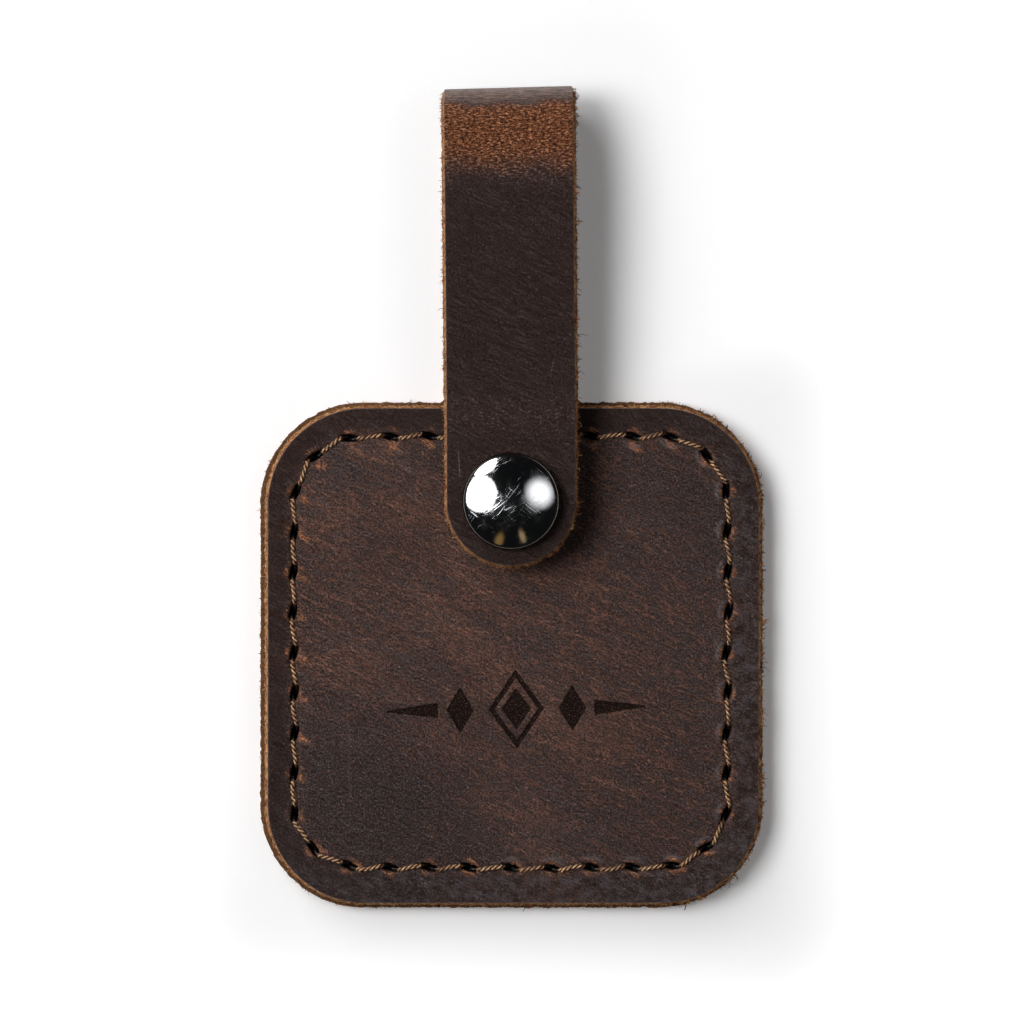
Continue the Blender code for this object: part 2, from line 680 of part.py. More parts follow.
def build():
    clear_scene()
    slit_cutter()
    front_panel()
    back_panel()
    sewing_thread("saddle_thread_first", True)
    sewing_thread("saddle_thread_second", False)
    snap_post()
    snap_stud()
    root = pivot("strap_root_pivot", (0, ROOT_Y, 0))
    strap_rear_leg(root)
    carrier = root
    for index in range(FOLD_PARTS):
        carrier = pivot(f"fold_pivot_{index + 1}", fold_station(hinge_angle(index)).place, carrier)
        strap_fold(index, carrier)
    last_hinge = fold_station(hinge_angle(FOLD_PARTS)).place
    tip = pivot(f"fold_pivot_{FOLD_PARTS + 1}", last_hinge, carrier)
    strap_front_leg(tip)
    cap_shell(tip)
    cap_rivet(tip)
    snap_socket(tip)
    snap_spring(tip)


build()
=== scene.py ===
"""The looks of a square leather luggage tag, with a folded strap that a press stud closes.

All lengths are metres. The tag lies on its back on a white floor, seen from straight above.
"""

import math

import bpy
import numpy as np
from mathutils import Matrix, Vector, noise


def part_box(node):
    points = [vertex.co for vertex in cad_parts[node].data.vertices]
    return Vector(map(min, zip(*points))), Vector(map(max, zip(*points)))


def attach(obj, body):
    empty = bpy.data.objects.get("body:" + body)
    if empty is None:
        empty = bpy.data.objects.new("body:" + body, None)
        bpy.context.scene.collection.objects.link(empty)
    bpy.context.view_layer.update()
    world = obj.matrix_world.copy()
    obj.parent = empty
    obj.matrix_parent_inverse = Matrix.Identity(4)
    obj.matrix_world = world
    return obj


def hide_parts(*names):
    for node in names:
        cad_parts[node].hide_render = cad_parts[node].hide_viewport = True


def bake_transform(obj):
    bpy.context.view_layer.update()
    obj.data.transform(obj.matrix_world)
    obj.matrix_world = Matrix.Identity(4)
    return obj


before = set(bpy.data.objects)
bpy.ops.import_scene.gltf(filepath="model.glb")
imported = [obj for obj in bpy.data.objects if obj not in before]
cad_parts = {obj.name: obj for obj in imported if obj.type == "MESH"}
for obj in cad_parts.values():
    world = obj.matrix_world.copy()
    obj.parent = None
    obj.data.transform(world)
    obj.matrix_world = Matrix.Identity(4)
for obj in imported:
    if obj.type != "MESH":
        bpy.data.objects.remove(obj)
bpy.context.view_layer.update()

MM = 0.001
SEED = 11
rng = np.random.default_rng(SEED)

# The tag, as the solids have it
back_low, back_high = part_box("back_panel")
front_low, front_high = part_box("front_panel")
FRONT_STEP = 0.35 * MM  # the front layer is that much smaller all round
TOP_Y = front_high.y + FRONT_STEP
BOTTOM_Y = back_low.y
MIDDLE_Y = (TOP_Y + BOTTOM_Y) / 2
HALF_HEIGHT = (TOP_Y - BOTTOM_Y) / 2
TAG_WIDTH = back_high.x - back_low.x
HALF_WIDTH = TAG_WIDTH / 2
CORNER_RADIUS = 13 * MM
THICKNESS = 1.8 * MM
HIDE_SHIFT = 0.2  # so that the back layer's grain isn't the front layer's
FRONT_Z = front_high.z
FRONT_FLESH_Z = front_low.z

# Cut edge of the leather
EDGE_SLOPE = 0.34 * MM
RIM_RADIUS = 0.13 * MM
WALL_STEPS = 9
RIM_STEPS = 3
CUT_LEAN = 0.12 * MM  # how far the knife leant over the layer's thickness
FRONT_SHIFT = 0.22 * MM  # the front layer lies that far to the right of the back layer
OUTLINE_PITCH = 0.26 * MM
CORNER_SEGMENTS = 72
MOST_CUTS = 100
CORNER_TURN = -22
BACK_CORNER_TURN = -33
FILLET_SEGMENTS = 6
NEARLY = 0.01 * MM  # points closer than this are in the same place

# Seam
STITCH_INSET = 4.3 * MM
BOTTOM_STITCH_INSET = 5.1 * MM
SEAM_RADIUS = CORNER_RADIUS - STITCH_INSET
STITCH_COUNT = 40
SLIT_SLANT = math.radians(14)
SLIT_REACH = 1.3 * MM
SLIT_HALF_WIDTH = 0.46 * MM
RUB_HEADING = math.radians(28)
THREAD_FRONT_Z = 3.8 * MM
THREAD_BACK_Z = 0.35 * MM
PLY_RADIUS = 0.142 * MM
PLY_SIDES = 7
PLY_ARC = 250  # degrees of each strand's outline that show
TWIST_LENGTH = 1.4 * MM
THREAD_PITCH = 0.1 * MM
ENTRY = 1.08 * MM

# Loose fibres
HAIR_RADIUS = 0.055 * MM
HAIR_ROOT = 0.12 * MM
HAIR_SUNK = 0.2 * MM
PANEL_HAIRS = 2300
STRAP_HAIRS = 2000
BURR = 0.34  # mm, the width of the ragged tan line along the front's rim

# Strap
STRAP_WIDTH = 16.8 * MM
STRAP_HALF = STRAP_WIDTH / 2
STRAP_FILLET = 0.8 * MM
STRAP_LEAN = 0.35 * MM  # how far the fold lies to the left of the strap's two ends
FOLD_TILT = 0.028
ROOT_Y = TOP_Y + STRAP_FILLET
FOLD_RADIUS = 5.3 * MM
FOLD_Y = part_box("strap_fold_2")[1].y - FOLD_RADIUS
SNAP_Y = TOP_Y - 12.5 * MM
FLAT_Y = SNAP_Y + 9 * MM
STRAP_TOP_Z = 9.175 * MM
STRAP_PITCH = 0.27 * MM
STRIP_START = -3 * MM
STRIP_TURN = -1
ROOT_BEND = 2.4 * MM
TIP_SEGMENTS = 98
MERGE_DISTANCE = 0.001 * MM
SPARE_RADIUS = 2.4 * MM
SPARE_SEGMENTS = 12
REAR_STEPS, FOLD_STEPS, FRONT_STEPS, FLAT_STEPS = 80, 160, 120, 20

# Press stud
HOLE_RADIUS = 1.5 * MM
POCKET_RADIUS = 5.05 * MM
POCKET_Z = 2.7 * MM
CAP_RADIUS = 6.1 * MM
CAP_EDGE = 0.8 * MM
CAP_Z = 9.425 * MM
CAP_LIP = 4.7 * MM
DOME_RADIUS = 13 * MM
SHEET = 0.35 * MM
WIRE_RADIUS = 0.275 * MM
SPRING_ARM = 1.9 * MM
SPRING_TOE = 0.8 * MM
SPRING_Z = 5.475 * MM
TURN_CORE = 0.02 * MM
ROUND_STEPS = 96

# Ornament, a plain row of lozenges between two tapered rules, in millimetres
ORNAMENT_PLACE = (0.7, -26.6)
ORNAMENT_TILT = 1.2  # degrees
LOZENGE = (3.5, 5.0)
RING_WIDTH = 0.62
CORE_INSET = 1.35
SMALL_LOZENGE = (7.1, 1.75, 2.9)
RULE = (9.9, 16.4, 0.85)
RULE_TIP = 0.1
RAGGED = 0.16  # how far the engraving's border strays

# Single marks and the darker corner of the hide with its painted bluish sheen, in millimetres
SHEEN_PLACE = (-19, -42, 0)
STRAP_MARK_Y = (ROOT_Y + HIDE_SHIFT) / MM + 92.5
CREASE_LENGTH = 10
MARKS = (  # place, half length, lean, half width and strength
    (-20.4, -20.0, 27.0, 0.006, 0.2, 0.16),
    (6.5, STRAP_MARK_Y, 1.9, 0.06, 0.1, 0.75),
    (-5.2, STRAP_MARK_Y - 12.0, 1.2, -0.2, 0.08, 0.4),
    (17.5, -6.0, 2.4, 0.9, 0.09, 0.35),
    (-9.0, -44.0, 3.1, -0.7, 0.09, 0.3),
)

# Camera and photograph
PHOTO_SIDE = 1024
PIXEL = 0.127 * MM
BODY_MIDDLE_X_PX = 511
BODY_MIDDLE_Y_PX = 653.5
CAMERA_DISTANCE = 520 * MM
CAMERA_RAISE = 0.19 * MM
LENS_TRIM = 1.004
SENSOR = 36.0


# --- working on a piece -------------------------------------------------------------------

def open_edit():
    bpy.ops.object.mode_set(mode="EDIT")


def close_edit():
    bpy.ops.object.mode_set(mode="OBJECT")


def take(piece=None):
    """Makes the piece, or nothing, the one that the next operators work on."""
    if bpy.context.object and bpy.context.object.mode != "OBJECT":
        close_edit()
    bpy.ops.object.select_all(action="DESELECT")
    if piece:
        piece.select_set(True)
        bpy.context.view_layer.objects.active = piece


def edit(piece, pick, kind):
    """Opens the piece for editing, with the elements that pick() wants selected."""
    take(piece)
    open_edit()
    bpy.ops.mesh.select_mode(type=kind)
    bpy.ops.mesh.select_all(action="DESELECT")
    close_edit()
    mesh = piece.data
    if kind == "VERT":
        for vertex in mesh.vertices:
            vertex.select = pick(vertex.co)
    elif kind == "EDGE":
        for edge in mesh.edges:
            edge.select = pick(*(mesh.vertices[i].co for i in edge.vertices))
    else:
        for face in mesh.polygons:
            face.select = pick(face)
    open_edit()


def edit_all(piece, kind="FACE"):
    edit(piece, lambda *_: True, kind)


def edit_these(piece, indices, kind):
    """Opens the piece for editing, with the points or edges of those numbers selected."""
    edit(piece, lambda *_: False, kind)
    close_edit()
    elements = piece.data.vertices if kind == "VERT" else piece.data.edges
    for index in indices:
        elements[index].select = True
    open_edit()


def put_in_scene(name, data):
    made = bpy.data.objects.new(name, data)
    bpy.context.scene.collection.objects.link(made)
    return made


def apply_place():
    bpy.ops.object.transform_apply(location=True, rotation=True, scale=True)


def places(piece):
    co = np.zeros(len(piece.data.vertices) * 3)
    piece.data.vertices.foreach_get("co", co)
    return co.reshape(-1, 3)


def set_places(piece, co):
    piece.data.vertices.foreach_set("co", co.ravel())
    piece.data.update()


def mark(piece, **fields):
    """Keeps numbers for each point of the piece, for its finish to read."""
    for name, values in fields.items():
        made = piece.data.attributes.new(name, "FLOAT", "POINT")
        made.data.foreach_set("value", np.full(len(made.data), values, np.float32))


def mark_leather(piece, flat, **fields):
    """Keeps each point's place in the flat hide, in millimetres, and all that the hide shows."""
    made = piece.data.attributes.new("flat", "FLOAT_VECTOR", "POINT")
    made.data.foreach_set("vector", np.asarray(flat / MM, np.float32).ravel())
    nothing = dict.fromkeys(("pit", "bow", "rub", "pull", "turning", "calm", "burn", "burr"), 0)
    mark(piece, **(nothing | fields))


def read_run(piece):
    """How far along the flat strap each point lies, in millimetres."""
    run = np.zeros(len(piece.data.vertices))
    piece.data.attributes["run"].data.foreach_get("value", run)
    return run


def line_curve(name, **settings):
    curve = bpy.data.curves.new(name, "CURVE")
    for key, value in ({"dimensions": "3D"} | settings).items():
        setattr(curve, key, value)
    return curve


def add_run(curve, run, closed=False):
    """Adds a line through the places to the curve, and gives its points."""
    spline = curve.splines.new("POLY")
    spline.points.add(len(run) - 1)
    for point, place in zip(spline.points, run):
        point.co = (*place, 1)
    spline.use_cyclic_u = closed
    return spline.points


def as_mesh(made):
    take(made)
    bpy.ops.object.convert(target="MESH")
    return bpy.context.object


def lumps(co, size, seed):
    """Smooth uneven heights from -1 to 1, of lumps about that far apart."""
    shift = Vector((seed * 7.3, seed * 3.1, seed * 5.7))
    return np.array([noise.noise(Vector(p) / size + shift) for p in co])


def smooth_step(low, high, value):
    t = np.clip((value - low) / (high - low), 0, 1)
    return t * t * (3 - 2 * t)


def bell(value):
    """1 where the value is 0, and smoothly less on both sides."""
    return np.exp(-value ** 2)


def walk(distance, runs, radius, x, y, heading):
    """A place and its heading, along straight runs with a quarter turn to the left after each."""
    for run in runs:
        step = min(distance, run)
        x, y = x + step * math.cos(heading), y + step * math.sin(heading)
        distance -= step
        if distance <= 0:
            break
        step = min(distance, radius * math.pi / 2)
        centre_x, centre_y = x - radius * math.sin(heading), y + radius * math.cos(heading)
        heading += step / radius
        x, y = centre_x + radius * math.sin(heading), centre_y - radius * math.cos(heading)
        distance -= step
        if distance <= 0:
            break
    return x, y, heading


# --- the seam and the ornament --------------------------------------------------------------

def slit_frames():
    """Each slit's middle, the way along it and the way across it, towards the edge."""
    across = TAG_WIDTH - 2 * CORNER_RADIUS
    up = TOP_Y - BOTTOM_Y - STITCH_INSET - BOTTOM_STITCH_INSET - 2 * SEAM_RADIUS
    runs = (across / 2, up, across, up, across / 2)
    length = sum(runs) + math.tau * SEAM_RADIUS
    frames = []
    for index in range(STITCH_COUNT):
        distance = length * index / STITCH_COUNT
        x, y, heading = walk(distance, runs, SEAM_RADIUS, 0.0, TOP_Y - STITCH_INSET, math.pi)
        heading -= SLIT_SLANT + rng.normal(0, 0.03)
        along = np.array((math.cos(heading), math.sin(heading)))
        across = np.array((math.sin(heading), -math.cos(heading)))
        shift = rng.normal(0, 0.09 * MM, 2)
        frames.append((np.array((x, y)) + shift, along, across))
    return frames


SLITS = slit_frames()
DRAWN = np.array((math.cos(RUB_HEADING), -math.sin(RUB_HEADING)))
ASIDE = np.array((-DRAWN[1], DRAWN[0]))


def seam_distance(xy):
    """How far outside the line of the seam each point lies; negative inside."""
    high, low = TOP_Y - STITCH_INSET, BOTTOM_Y + BOTTOM_STITCH_INSET
    dx = np.abs(xy[:, 0]) - (HALF_WIDTH - STITCH_INSET - SEAM_RADIUS)
    dy = np.abs(xy[:, 1] - (high + low) / 2) - ((high - low) / 2 - SEAM_RADIUS)
    outside = np.hypot(np.maximum(dx, 0), np.maximum(dy, 0))
    return outside + np.minimum(np.maximum(dx, dy), 0) - SEAM_RADIUS


def seam_fields(xy):
    """For each point, from 0 to 1: how deep it lies in a slit, lip, rub, pull and painted crescent
    highlight.
    """
    fields = np.zeros((5, len(xy)))
    for middle, along, across in SLITS:
        near = np.flatnonzero(np.abs(xy - middle).max(1) < 4 * MM)
        delta = xy[near] - middle
        u, v = delta @ along, delta @ across
        side = np.abs(v) / MM
        slit = 1 - smooth_step(0.72, 1.12, np.hypot(u / SLIT_REACH, v / SLIT_HALF_WIDTH))
        ridge = bell((side - 0.85) / 0.3) * bell((u / MM) / 0.95)
        inner = -across * rng.uniform(0.55, 0.75) + np.array((0.2, -0.5))
        spot = delta / MM - inner
        drawn, aside = spot @ DRAWN, spot @ ASIDE
        trail = np.where(drawn > 0, rng.uniform(0.8, 1.6), 0.5)
        worn = bell(drawn / trail) * bell(aside / 0.48) * rng.uniform(0.65, 1.0)
        worn = np.maximum(worn, 0.5 * bell((side - 0.7) / 0.5) * bell(u / (0.9 * MM)))
        dip = bell(np.hypot(u / (1.7 * MM), v / (0.8 * MM)))
        arc = np.zeros(len(near))
        # pale crescents on the inner lips of the right-hand slits, which the finish paints as
        # highlights
        if middle[0] > 0:
            ring = np.hypot(u / (1.35 * MM), v / (1.3 * MM))
            arc = bell((ring - 1) / 0.13) * smooth_step(0.5 * MM, 1.0 * MM, -v)
        fields[:, near] = np.maximum(fields[:, near], (slit, ridge, worn, dip, arc))
    return fields


def ornament(x, y, most, least):
    """How far inside the ornament's shapes a place lies, in millimetres."""
    x, y = abs(x), abs(y)

    def lozenge(across, width, height):
        return (1.0 - (across / width + y / height)) * (width * height / math.hypot(width, height))

    inside = lozenge(x, *LOZENGE)
    ring = least(inside, RING_WIDTH - inside)
    place, width, height = SMALL_LOZENGE
    small = lozenge(abs(x - place), width, height)
    start, end, half = RULE
    rule = (end - x) * (half / (end - start)) + RULE_TIP - y
    rule = least(least(rule, x - start), end - x)
    return most(most(ring, inside - CORE_INSET), most(small, rule))


def ornament_depth(xy):
    """1 inside the engraved shapes and 0 outside, with a soft border."""
    tilt = math.radians(ORNAMENT_TILT)
    c, s = math.cos(tilt), math.sin(tilt)
    x, y = (xy[:, k] / MM - ORNAMENT_PLACE[k] for k in (0, 1))
    shapes = ornament(c * x + s * y, -s * x + c * y, np.maximum, np.minimum)
    return smooth_step(-0.1, 0.14, shapes)


# --- loose fibres of the cut edge -----------------------------------------------------------

def hair_lengths(along, right):
    """Short everywhere, longer on the right, and longest in tufts."""
    count = len(along)
    tuft = [noise.noise(Vector((a / (2.2 * MM), 9.0 * r, 4))) for a, r in zip(along, right)]
    tuft = np.clip(np.array(tuft) * 2.2, 0, 1)
    short = rng.gamma(2.0, 0.07, count) + 0.04
    extra = rng.gamma(1.6, 0.22, count) * tuft * np.where(right, 1.0, 0.3)
    return (short * np.where(right, 1.6, 1.25) + extra) * MM


def add_hairs(piece, roots, outs, along, right):
    """Gives the cut edge its fine hairs, each one curled and tapered."""
    lengths = hair_lengths(along, np.array(right)) + HAIR_SUNK
    curve = line_curve("hairs", bevel_depth=HAIR_RADIUS, bevel_resolution=0)
    for root, out, length in zip(roots, outs, lengths):
        curl = rng.normal(0, 0.5 + 0.35 * min(length / MM, 1), (3, 3)) * np.array((1, 1, 0.6))
        thick = rng.uniform(0.6, 1.3) * (1 + 0.6 * min(length / MM, 1.2))
        curl[0] *= 0.5
        run, way = [root - out * HAIR_ROOT], out
        for swerve, step in zip(curl, (HAIR_ROOT, length / 2, length / 2)):
            way = way + swerve
            way = way / np.linalg.norm(way)
            run.append(run[-1] + way * step)
        for i, point in enumerate(add_run(curve, run)):
            point.radius = thick * (1 - 0.22 * i)
    hairs = as_mesh(put_in_scene("hairs", curve))
    take(piece)
    hairs.select_set(True)
    bpy.ops.object.join()


def panel_hairs(piece, half_x, low, high, radius, z_low, z_high):
    """Hairs round a panel's edge, most of them on its right."""
    across, up = 2 * (half_x - radius), high - low - 2 * radius
    runs = (across, up, across, up)
    total = 2 * across + 2 * up + math.tau * radius
    on_right = rng.uniform(across, across + up + math.pi * radius, PANEL_HAIRS // 3)
    along = np.append(rng.uniform(0, total, PANEL_HAIRS - len(on_right)), on_right)
    along.sort()
    roots, outs, right = [], [], []
    for distance in along:
        x, y, heading = walk(distance, runs, radius, -half_x + radius, low, 0.0)
        out = np.array((math.sin(heading), -math.cos(heading), rng.normal(0, 0.35)))
        roots.append(np.array((x, y, rng.uniform(z_low, z_high))) - out * (0.3 * MM))
        outs.append(out / np.linalg.norm(out))
        right.append(out[0] > 0.3)
    add_hairs(piece, roots, outs, along, right)


def strap_hairs(piece):
    """Hairs along both edges of the flat strap and round its tip, grain still up."""
    straight, tip = SNAP_FLAT - MM, math.pi * STRAP_HALF
    total = 2 * straight + tip
    along = np.sort(rng.uniform(0, total, STRAP_HAIRS))
    roots, outs, right = [], [], []
    for distance in along:
        z = rng.uniform(-THICKNESS, -0.25 * MM)
        if distance < straight:
            root, out = (-STRAP_HALF, MM + distance, z), (-1, 0)
        elif distance < straight + tip:
            a = math.pi - (distance - straight) / STRAP_HALF
            root = (STRAP_HALF * math.cos(a), SNAP_FLAT + STRAP_HALF * math.sin(a), z)
            out = (math.cos(a), math.sin(a))
        else:
            root, out = (STRAP_HALF, MM + total - distance, z), (1, 0)
        out = np.array((*out, rng.normal(0, 0.35)))
        out /= np.linalg.norm(out)
        roots.append(np.array(root) - out * (0.25 * MM))
        outs.append(out)
        right.append(out[0] < -0.3)
    add_hairs(piece, roots, outs, along, right)


def part_fibres(piece, count, name):
    """Makes the hairs, shaped together with the edge, a piece of their own."""
    edit(piece, lambda f: f.index >= count, "FACE")
    bpy.ops.mesh.separate(type="SELECTED")
    close_edit()
    made = next(other for other in bpy.context.selected_objects if other is not piece)
    made.name = made.data.name = name
    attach(made, "tag")
    return made


# --- cutting and shaping leather --------------------------------------------------------------

def open_plane(name, width, low_y, high_y, z):
    take()
    bpy.ops.mesh.primitive_plane_add(size=1, location=(0, (low_y + high_y) / 2, z))
    piece = bpy.context.object
    piece.name = piece.data.name = name
    piece.scale = (width, high_y - low_y, 1)
    apply_place()
    return piece


def round_corners(piece, radius, pick, segments):
    edit(piece, pick, "VERT")
    bpy.ops.mesh.bevel(offset=radius, segments=segments, affect="VERTICES")
    close_edit()


def subdivide_long_edges(piece, pitch):
    """Spaces points evenly along the straight edges of a flat outline."""
    edit_all(piece)
    bpy.ops.mesh.delete(type="ONLY_FACE")
    close_edit()
    while True:
        points = piece.data.vertices
        ends = ([points[i].co for i in e.vertices] for e in piece.data.edges)
        longest = max((a - b).length for a, b in ends)
        parts = round(longest / pitch)
        if parts < 2:
            break
        edit(piece, lambda a, b: abs((a - b).length - longest) < pitch / 20, "EDGE")
        bpy.ops.mesh.subdivide(number_cuts=parts - 1 if parts < MOST_CUTS else 1)
        close_edit()
    edit_all(piece, "EDGE")
    bpy.ops.mesh.edge_face_add()
    close_edit()
    if piece.data.polygons[0].normal.z < 0:
        edit_all(piece)
        bpy.ops.mesh.flip_normals()
        close_edit()


def inset(step_in, step_up=0.0):
    bpy.ops.mesh.inset(thickness=step_in, depth=step_up)


def raise_edge(piece):
    """From the flesh side's outline up the cut edge and over the rounded rim to the grain side."""
    edit_all(piece)
    wall = THICKNESS - RIM_RADIUS
    for _ in range(WALL_STEPS):
        inset(EDGE_SLOPE / WALL_STEPS, wall / WALL_STEPS)
    for i in range(RIM_STEPS):
        start, end = (math.pi / 2 * k / RIM_STEPS for k in (i, i + 1))
        inset(RIM_RADIUS * (math.cos(start) - math.cos(end)),
              RIM_RADIUS * (math.sin(end) - math.sin(start)))


def seam_rings():
    """Rings across the margin, closest where the slits are."""
    for count, width in ((9, 2.3), (17, 2.2), (5, 1.2)):
        for _ in range(count):
            inset(width / count * MM)


def fill_edges(piece, edges, span, turn):
    edit_these(piece, edges, "EDGE")
    bpy.ops.mesh.fill_grid(span=span, offset=turn)
    close_edit()


def fill_face(piece, span=0, turn=0):
    """Replaces the picked face with a grid of small faces."""
    close_edit()
    loop = set(next(f for f in piece.data.polygons if f.select).vertices)
    open_edit()
    bpy.ops.mesh.delete(type="ONLY_FACE")
    close_edit()
    edges = [e.index for e in piece.data.edges if loop.issuperset(e.vertices)]
    fill_edges(piece, edges, span or len(loop) // 4, turn)


def open_edges(piece):
    """The edges that only one face has."""
    used = np.zeros(len(piece.data.edges), int)
    for loop in piece.data.loops:
        used[loop.edge_index] += 1
    return [int(i) for i in np.flatnonzero(used == 1)]


def to_triangles():
    bpy.ops.mesh.quads_convert_to_tris(quad_method="BEAUTY", ngon_method="BEAUTY")


def close_flesh_side(piece, z):
    """Closes the hidden or plain side with one face."""
    edit(piece, lambda a, b: abs(a.z - z) < NEARLY and abs(b.z - z) < NEARLY, "EDGE")
    bpy.ops.mesh.edge_face_add()
    to_triangles()
    close_edit()


def face_out(piece):
    edit_all(piece)
    bpy.ops.mesh.normals_make_consistent(inside=False)
    close_edit()


def cut_across(piece, place, **cleared):
    """Cuts a line across the piece at a place along Y, and may clear one side of it."""
    edit_all(piece, "VERT")
    bpy.ops.mesh.bisect(plane_co=(0, place, 0), plane_no=(0, 1, 0), **cleared)
    close_edit()


def turn_over(piece, height):
    """Turns the piece upside down about a line along Y at that height."""
    edit_all(piece, "VERT")
    bpy.ops.transform.rotate(value=math.pi, orient_axis="Y", center_override=(0, 0, height))
    close_edit()


def drill(piece, y, low, high, radius):
    """Cuts a round hole or pocket."""
    take()
    bpy.ops.mesh.primitive_cylinder_add(
        vertices=48, radius=radius, depth=high - low, location=(0, y, (low + high) / 2)
    )
    punch = bpy.context.object
    take(piece)
    cut = piece.modifiers.new("hole", "BOOLEAN")
    cut.operation, cut.object, cut.solver = "DIFFERENCE", punch, "EXACT"
    bpy.ops.object.modifier_apply(modifier=cut.name)
    bpy.data.objects.remove(punch, do_unlink=True)


def unit(vectors):
    """The same vectors, each 1 long."""
    return vectors / np.maximum(np.linalg.norm(vectors, axis=1), 1e-9)[:, None]


def rough_wall(co, depth, seed):
    """Frays the cut edge: moves its points in and out, away from the middle of the sheet."""
    on_wall = smooth_step(0.15, 0.5, depth) * (1 - smooth_step(1.75, 1.8, depth) * 0.4)
    out = co[:, :2] - np.array((0, MIDDLE_Y))
    corner = np.array((HALF_WIDTH, HALF_HEIGHT)) - CORNER_RADIUS
    out = unit(np.sign(out) * np.maximum(np.abs(out) - corner, 0))
    idx = np.flatnonzero(on_wall > 0)
    fray = 0.6 * lumps(co[idx], 0.55 * MM, seed) + 0.5 * lumps(co[idx], 0.22 * MM, seed + 1)
    reach = (fray + 0.2) * 0.32 + 0.12 * np.clip(out[idx, 0], 0, 1)
    co[idx, :2] += out[idx] * (on_wall[idx] * reach * MM)[:, None]


def dress_grain(piece, side, seed, hide_shift):
    """Presses slits, furrow and soft lumps into the grain side, and marks them for the finish.

    side is 1 where the grain faces up and -1 where it faces down.
    """
    co = places(piece)
    front = side > 0
    depth = ((FRONT_Z if front else 0.0) - co[:, 2]) * side / MM
    flat = np.column_stack((co[:, 0], co[:, 1] + hide_shift, depth * MM))
    top = 1 - smooth_step(0.0, 0.25, depth)
    xy = co[:, :2]
    pit, lip, rub, pull, crescent_highlight = seam_fields(xy)
    off_seam = seam_distance(xy)
    line = bell(off_seam / (0.6 * MM))
    level = np.column_stack((xy, np.full(len(xy), seed * MM)))
    calm = 1.0 if front else 1 - smooth_step(TOP_Y - 4 * MM, TOP_Y - 0.5 * MM, xy[:, 1])
    waves = ((0.035, 14, 0), (0.018, 3.2, 3), (0.007, 0.9, 5))  # height and size in millimetres
    rise = sum(height * lumps(level, size * MM, seed + k) for height, size, k in waves) - 0.03
    rise = calm * rise - (0.13 * line + 0.2 * pull * line)
    if not front:
        rise -= 0.5 * (1 - smooth_step(0.3, 0.72, np.abs(off_seam) / MM))
    rise += (0.075 * lip + 0.05 * crescent_highlight) * (1 - pit) - 1.45 * pit
    cut = ornament_depth(xy) if front else np.zeros(len(xy))
    rise -= 0.16 * cut
    co[:, 2] += side * rise * top * MM
    rough_wall(co, depth, seed)
    set_places(piece, co)
    worn = rub * (0.75 + 0.6 * lumps(np.column_stack((xy, xy[:, 0])), 1.1 * MM, seed + 9))
    mark_leather(
        piece, flat, depth=depth, pit=pit * top, bow=crescent_highlight * top, burn=cut * top,
        rub=np.clip(worn, 0, 1) * top, burr=float(front),
        shade=smooth_step(-0.6 * MM, 1.6 * MM, seam_distance(xy)),
    )


def lean_right(piece):
    """The knife leant to the left, so the front layer's grain lies further right than its flesh."""
    co = places(piece)
    height = np.clip((co[:, 2] - FRONT_FLESH_Z) / THICKNESS, 0, 1)
    margin = smooth_step(0.6 * MM, 3.4 * MM, seam_distance(co[:, :2]))
    co[:, 0] += (FRONT_SHIFT + CUT_LEAN * (height - 0.5)) * margin
    set_places(piece, co)


def front_layer():
    half, radius = (TAG_WIDTH - 2 * FRONT_STEP) / 2, CORNER_RADIUS - FRONT_STEP
    low, high = BOTTOM_Y + FRONT_STEP, TOP_Y - FRONT_STEP
    piece = open_plane("front_leather", 2 * half, low, high, FRONT_FLESH_Z)
    round_corners(piece, radius, lambda co: True, CORNER_SEGMENTS)
    subdivide_long_edges(piece, OUTLINE_PITCH)
    raise_edge(piece)
    seam_rings()
    fill_face(piece, turn=CORNER_TURN)
    close_flesh_side(piece, FRONT_FLESH_Z)
    face_out(piece)
    drill(piece, SNAP_Y, FRONT_FLESH_Z - MM, FRONT_Z + MM, HOLE_RADIUS)
    drill(piece, SNAP_Y, FRONT_FLESH_Z - MM, POCKET_Z, POCKET_RADIUS)
    count = len(piece.data.polygons)
    panel_hairs(piece, half, low, high, radius, FRONT_FLESH_Z, FRONT_Z - 0.3 * MM)
    dress_grain(piece, 1, 1, 0)
    lean_right(piece)
    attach(piece, "tag")
    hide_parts("front_panel")
    return [piece, part_fibres(piece, count, "front_fibres")]


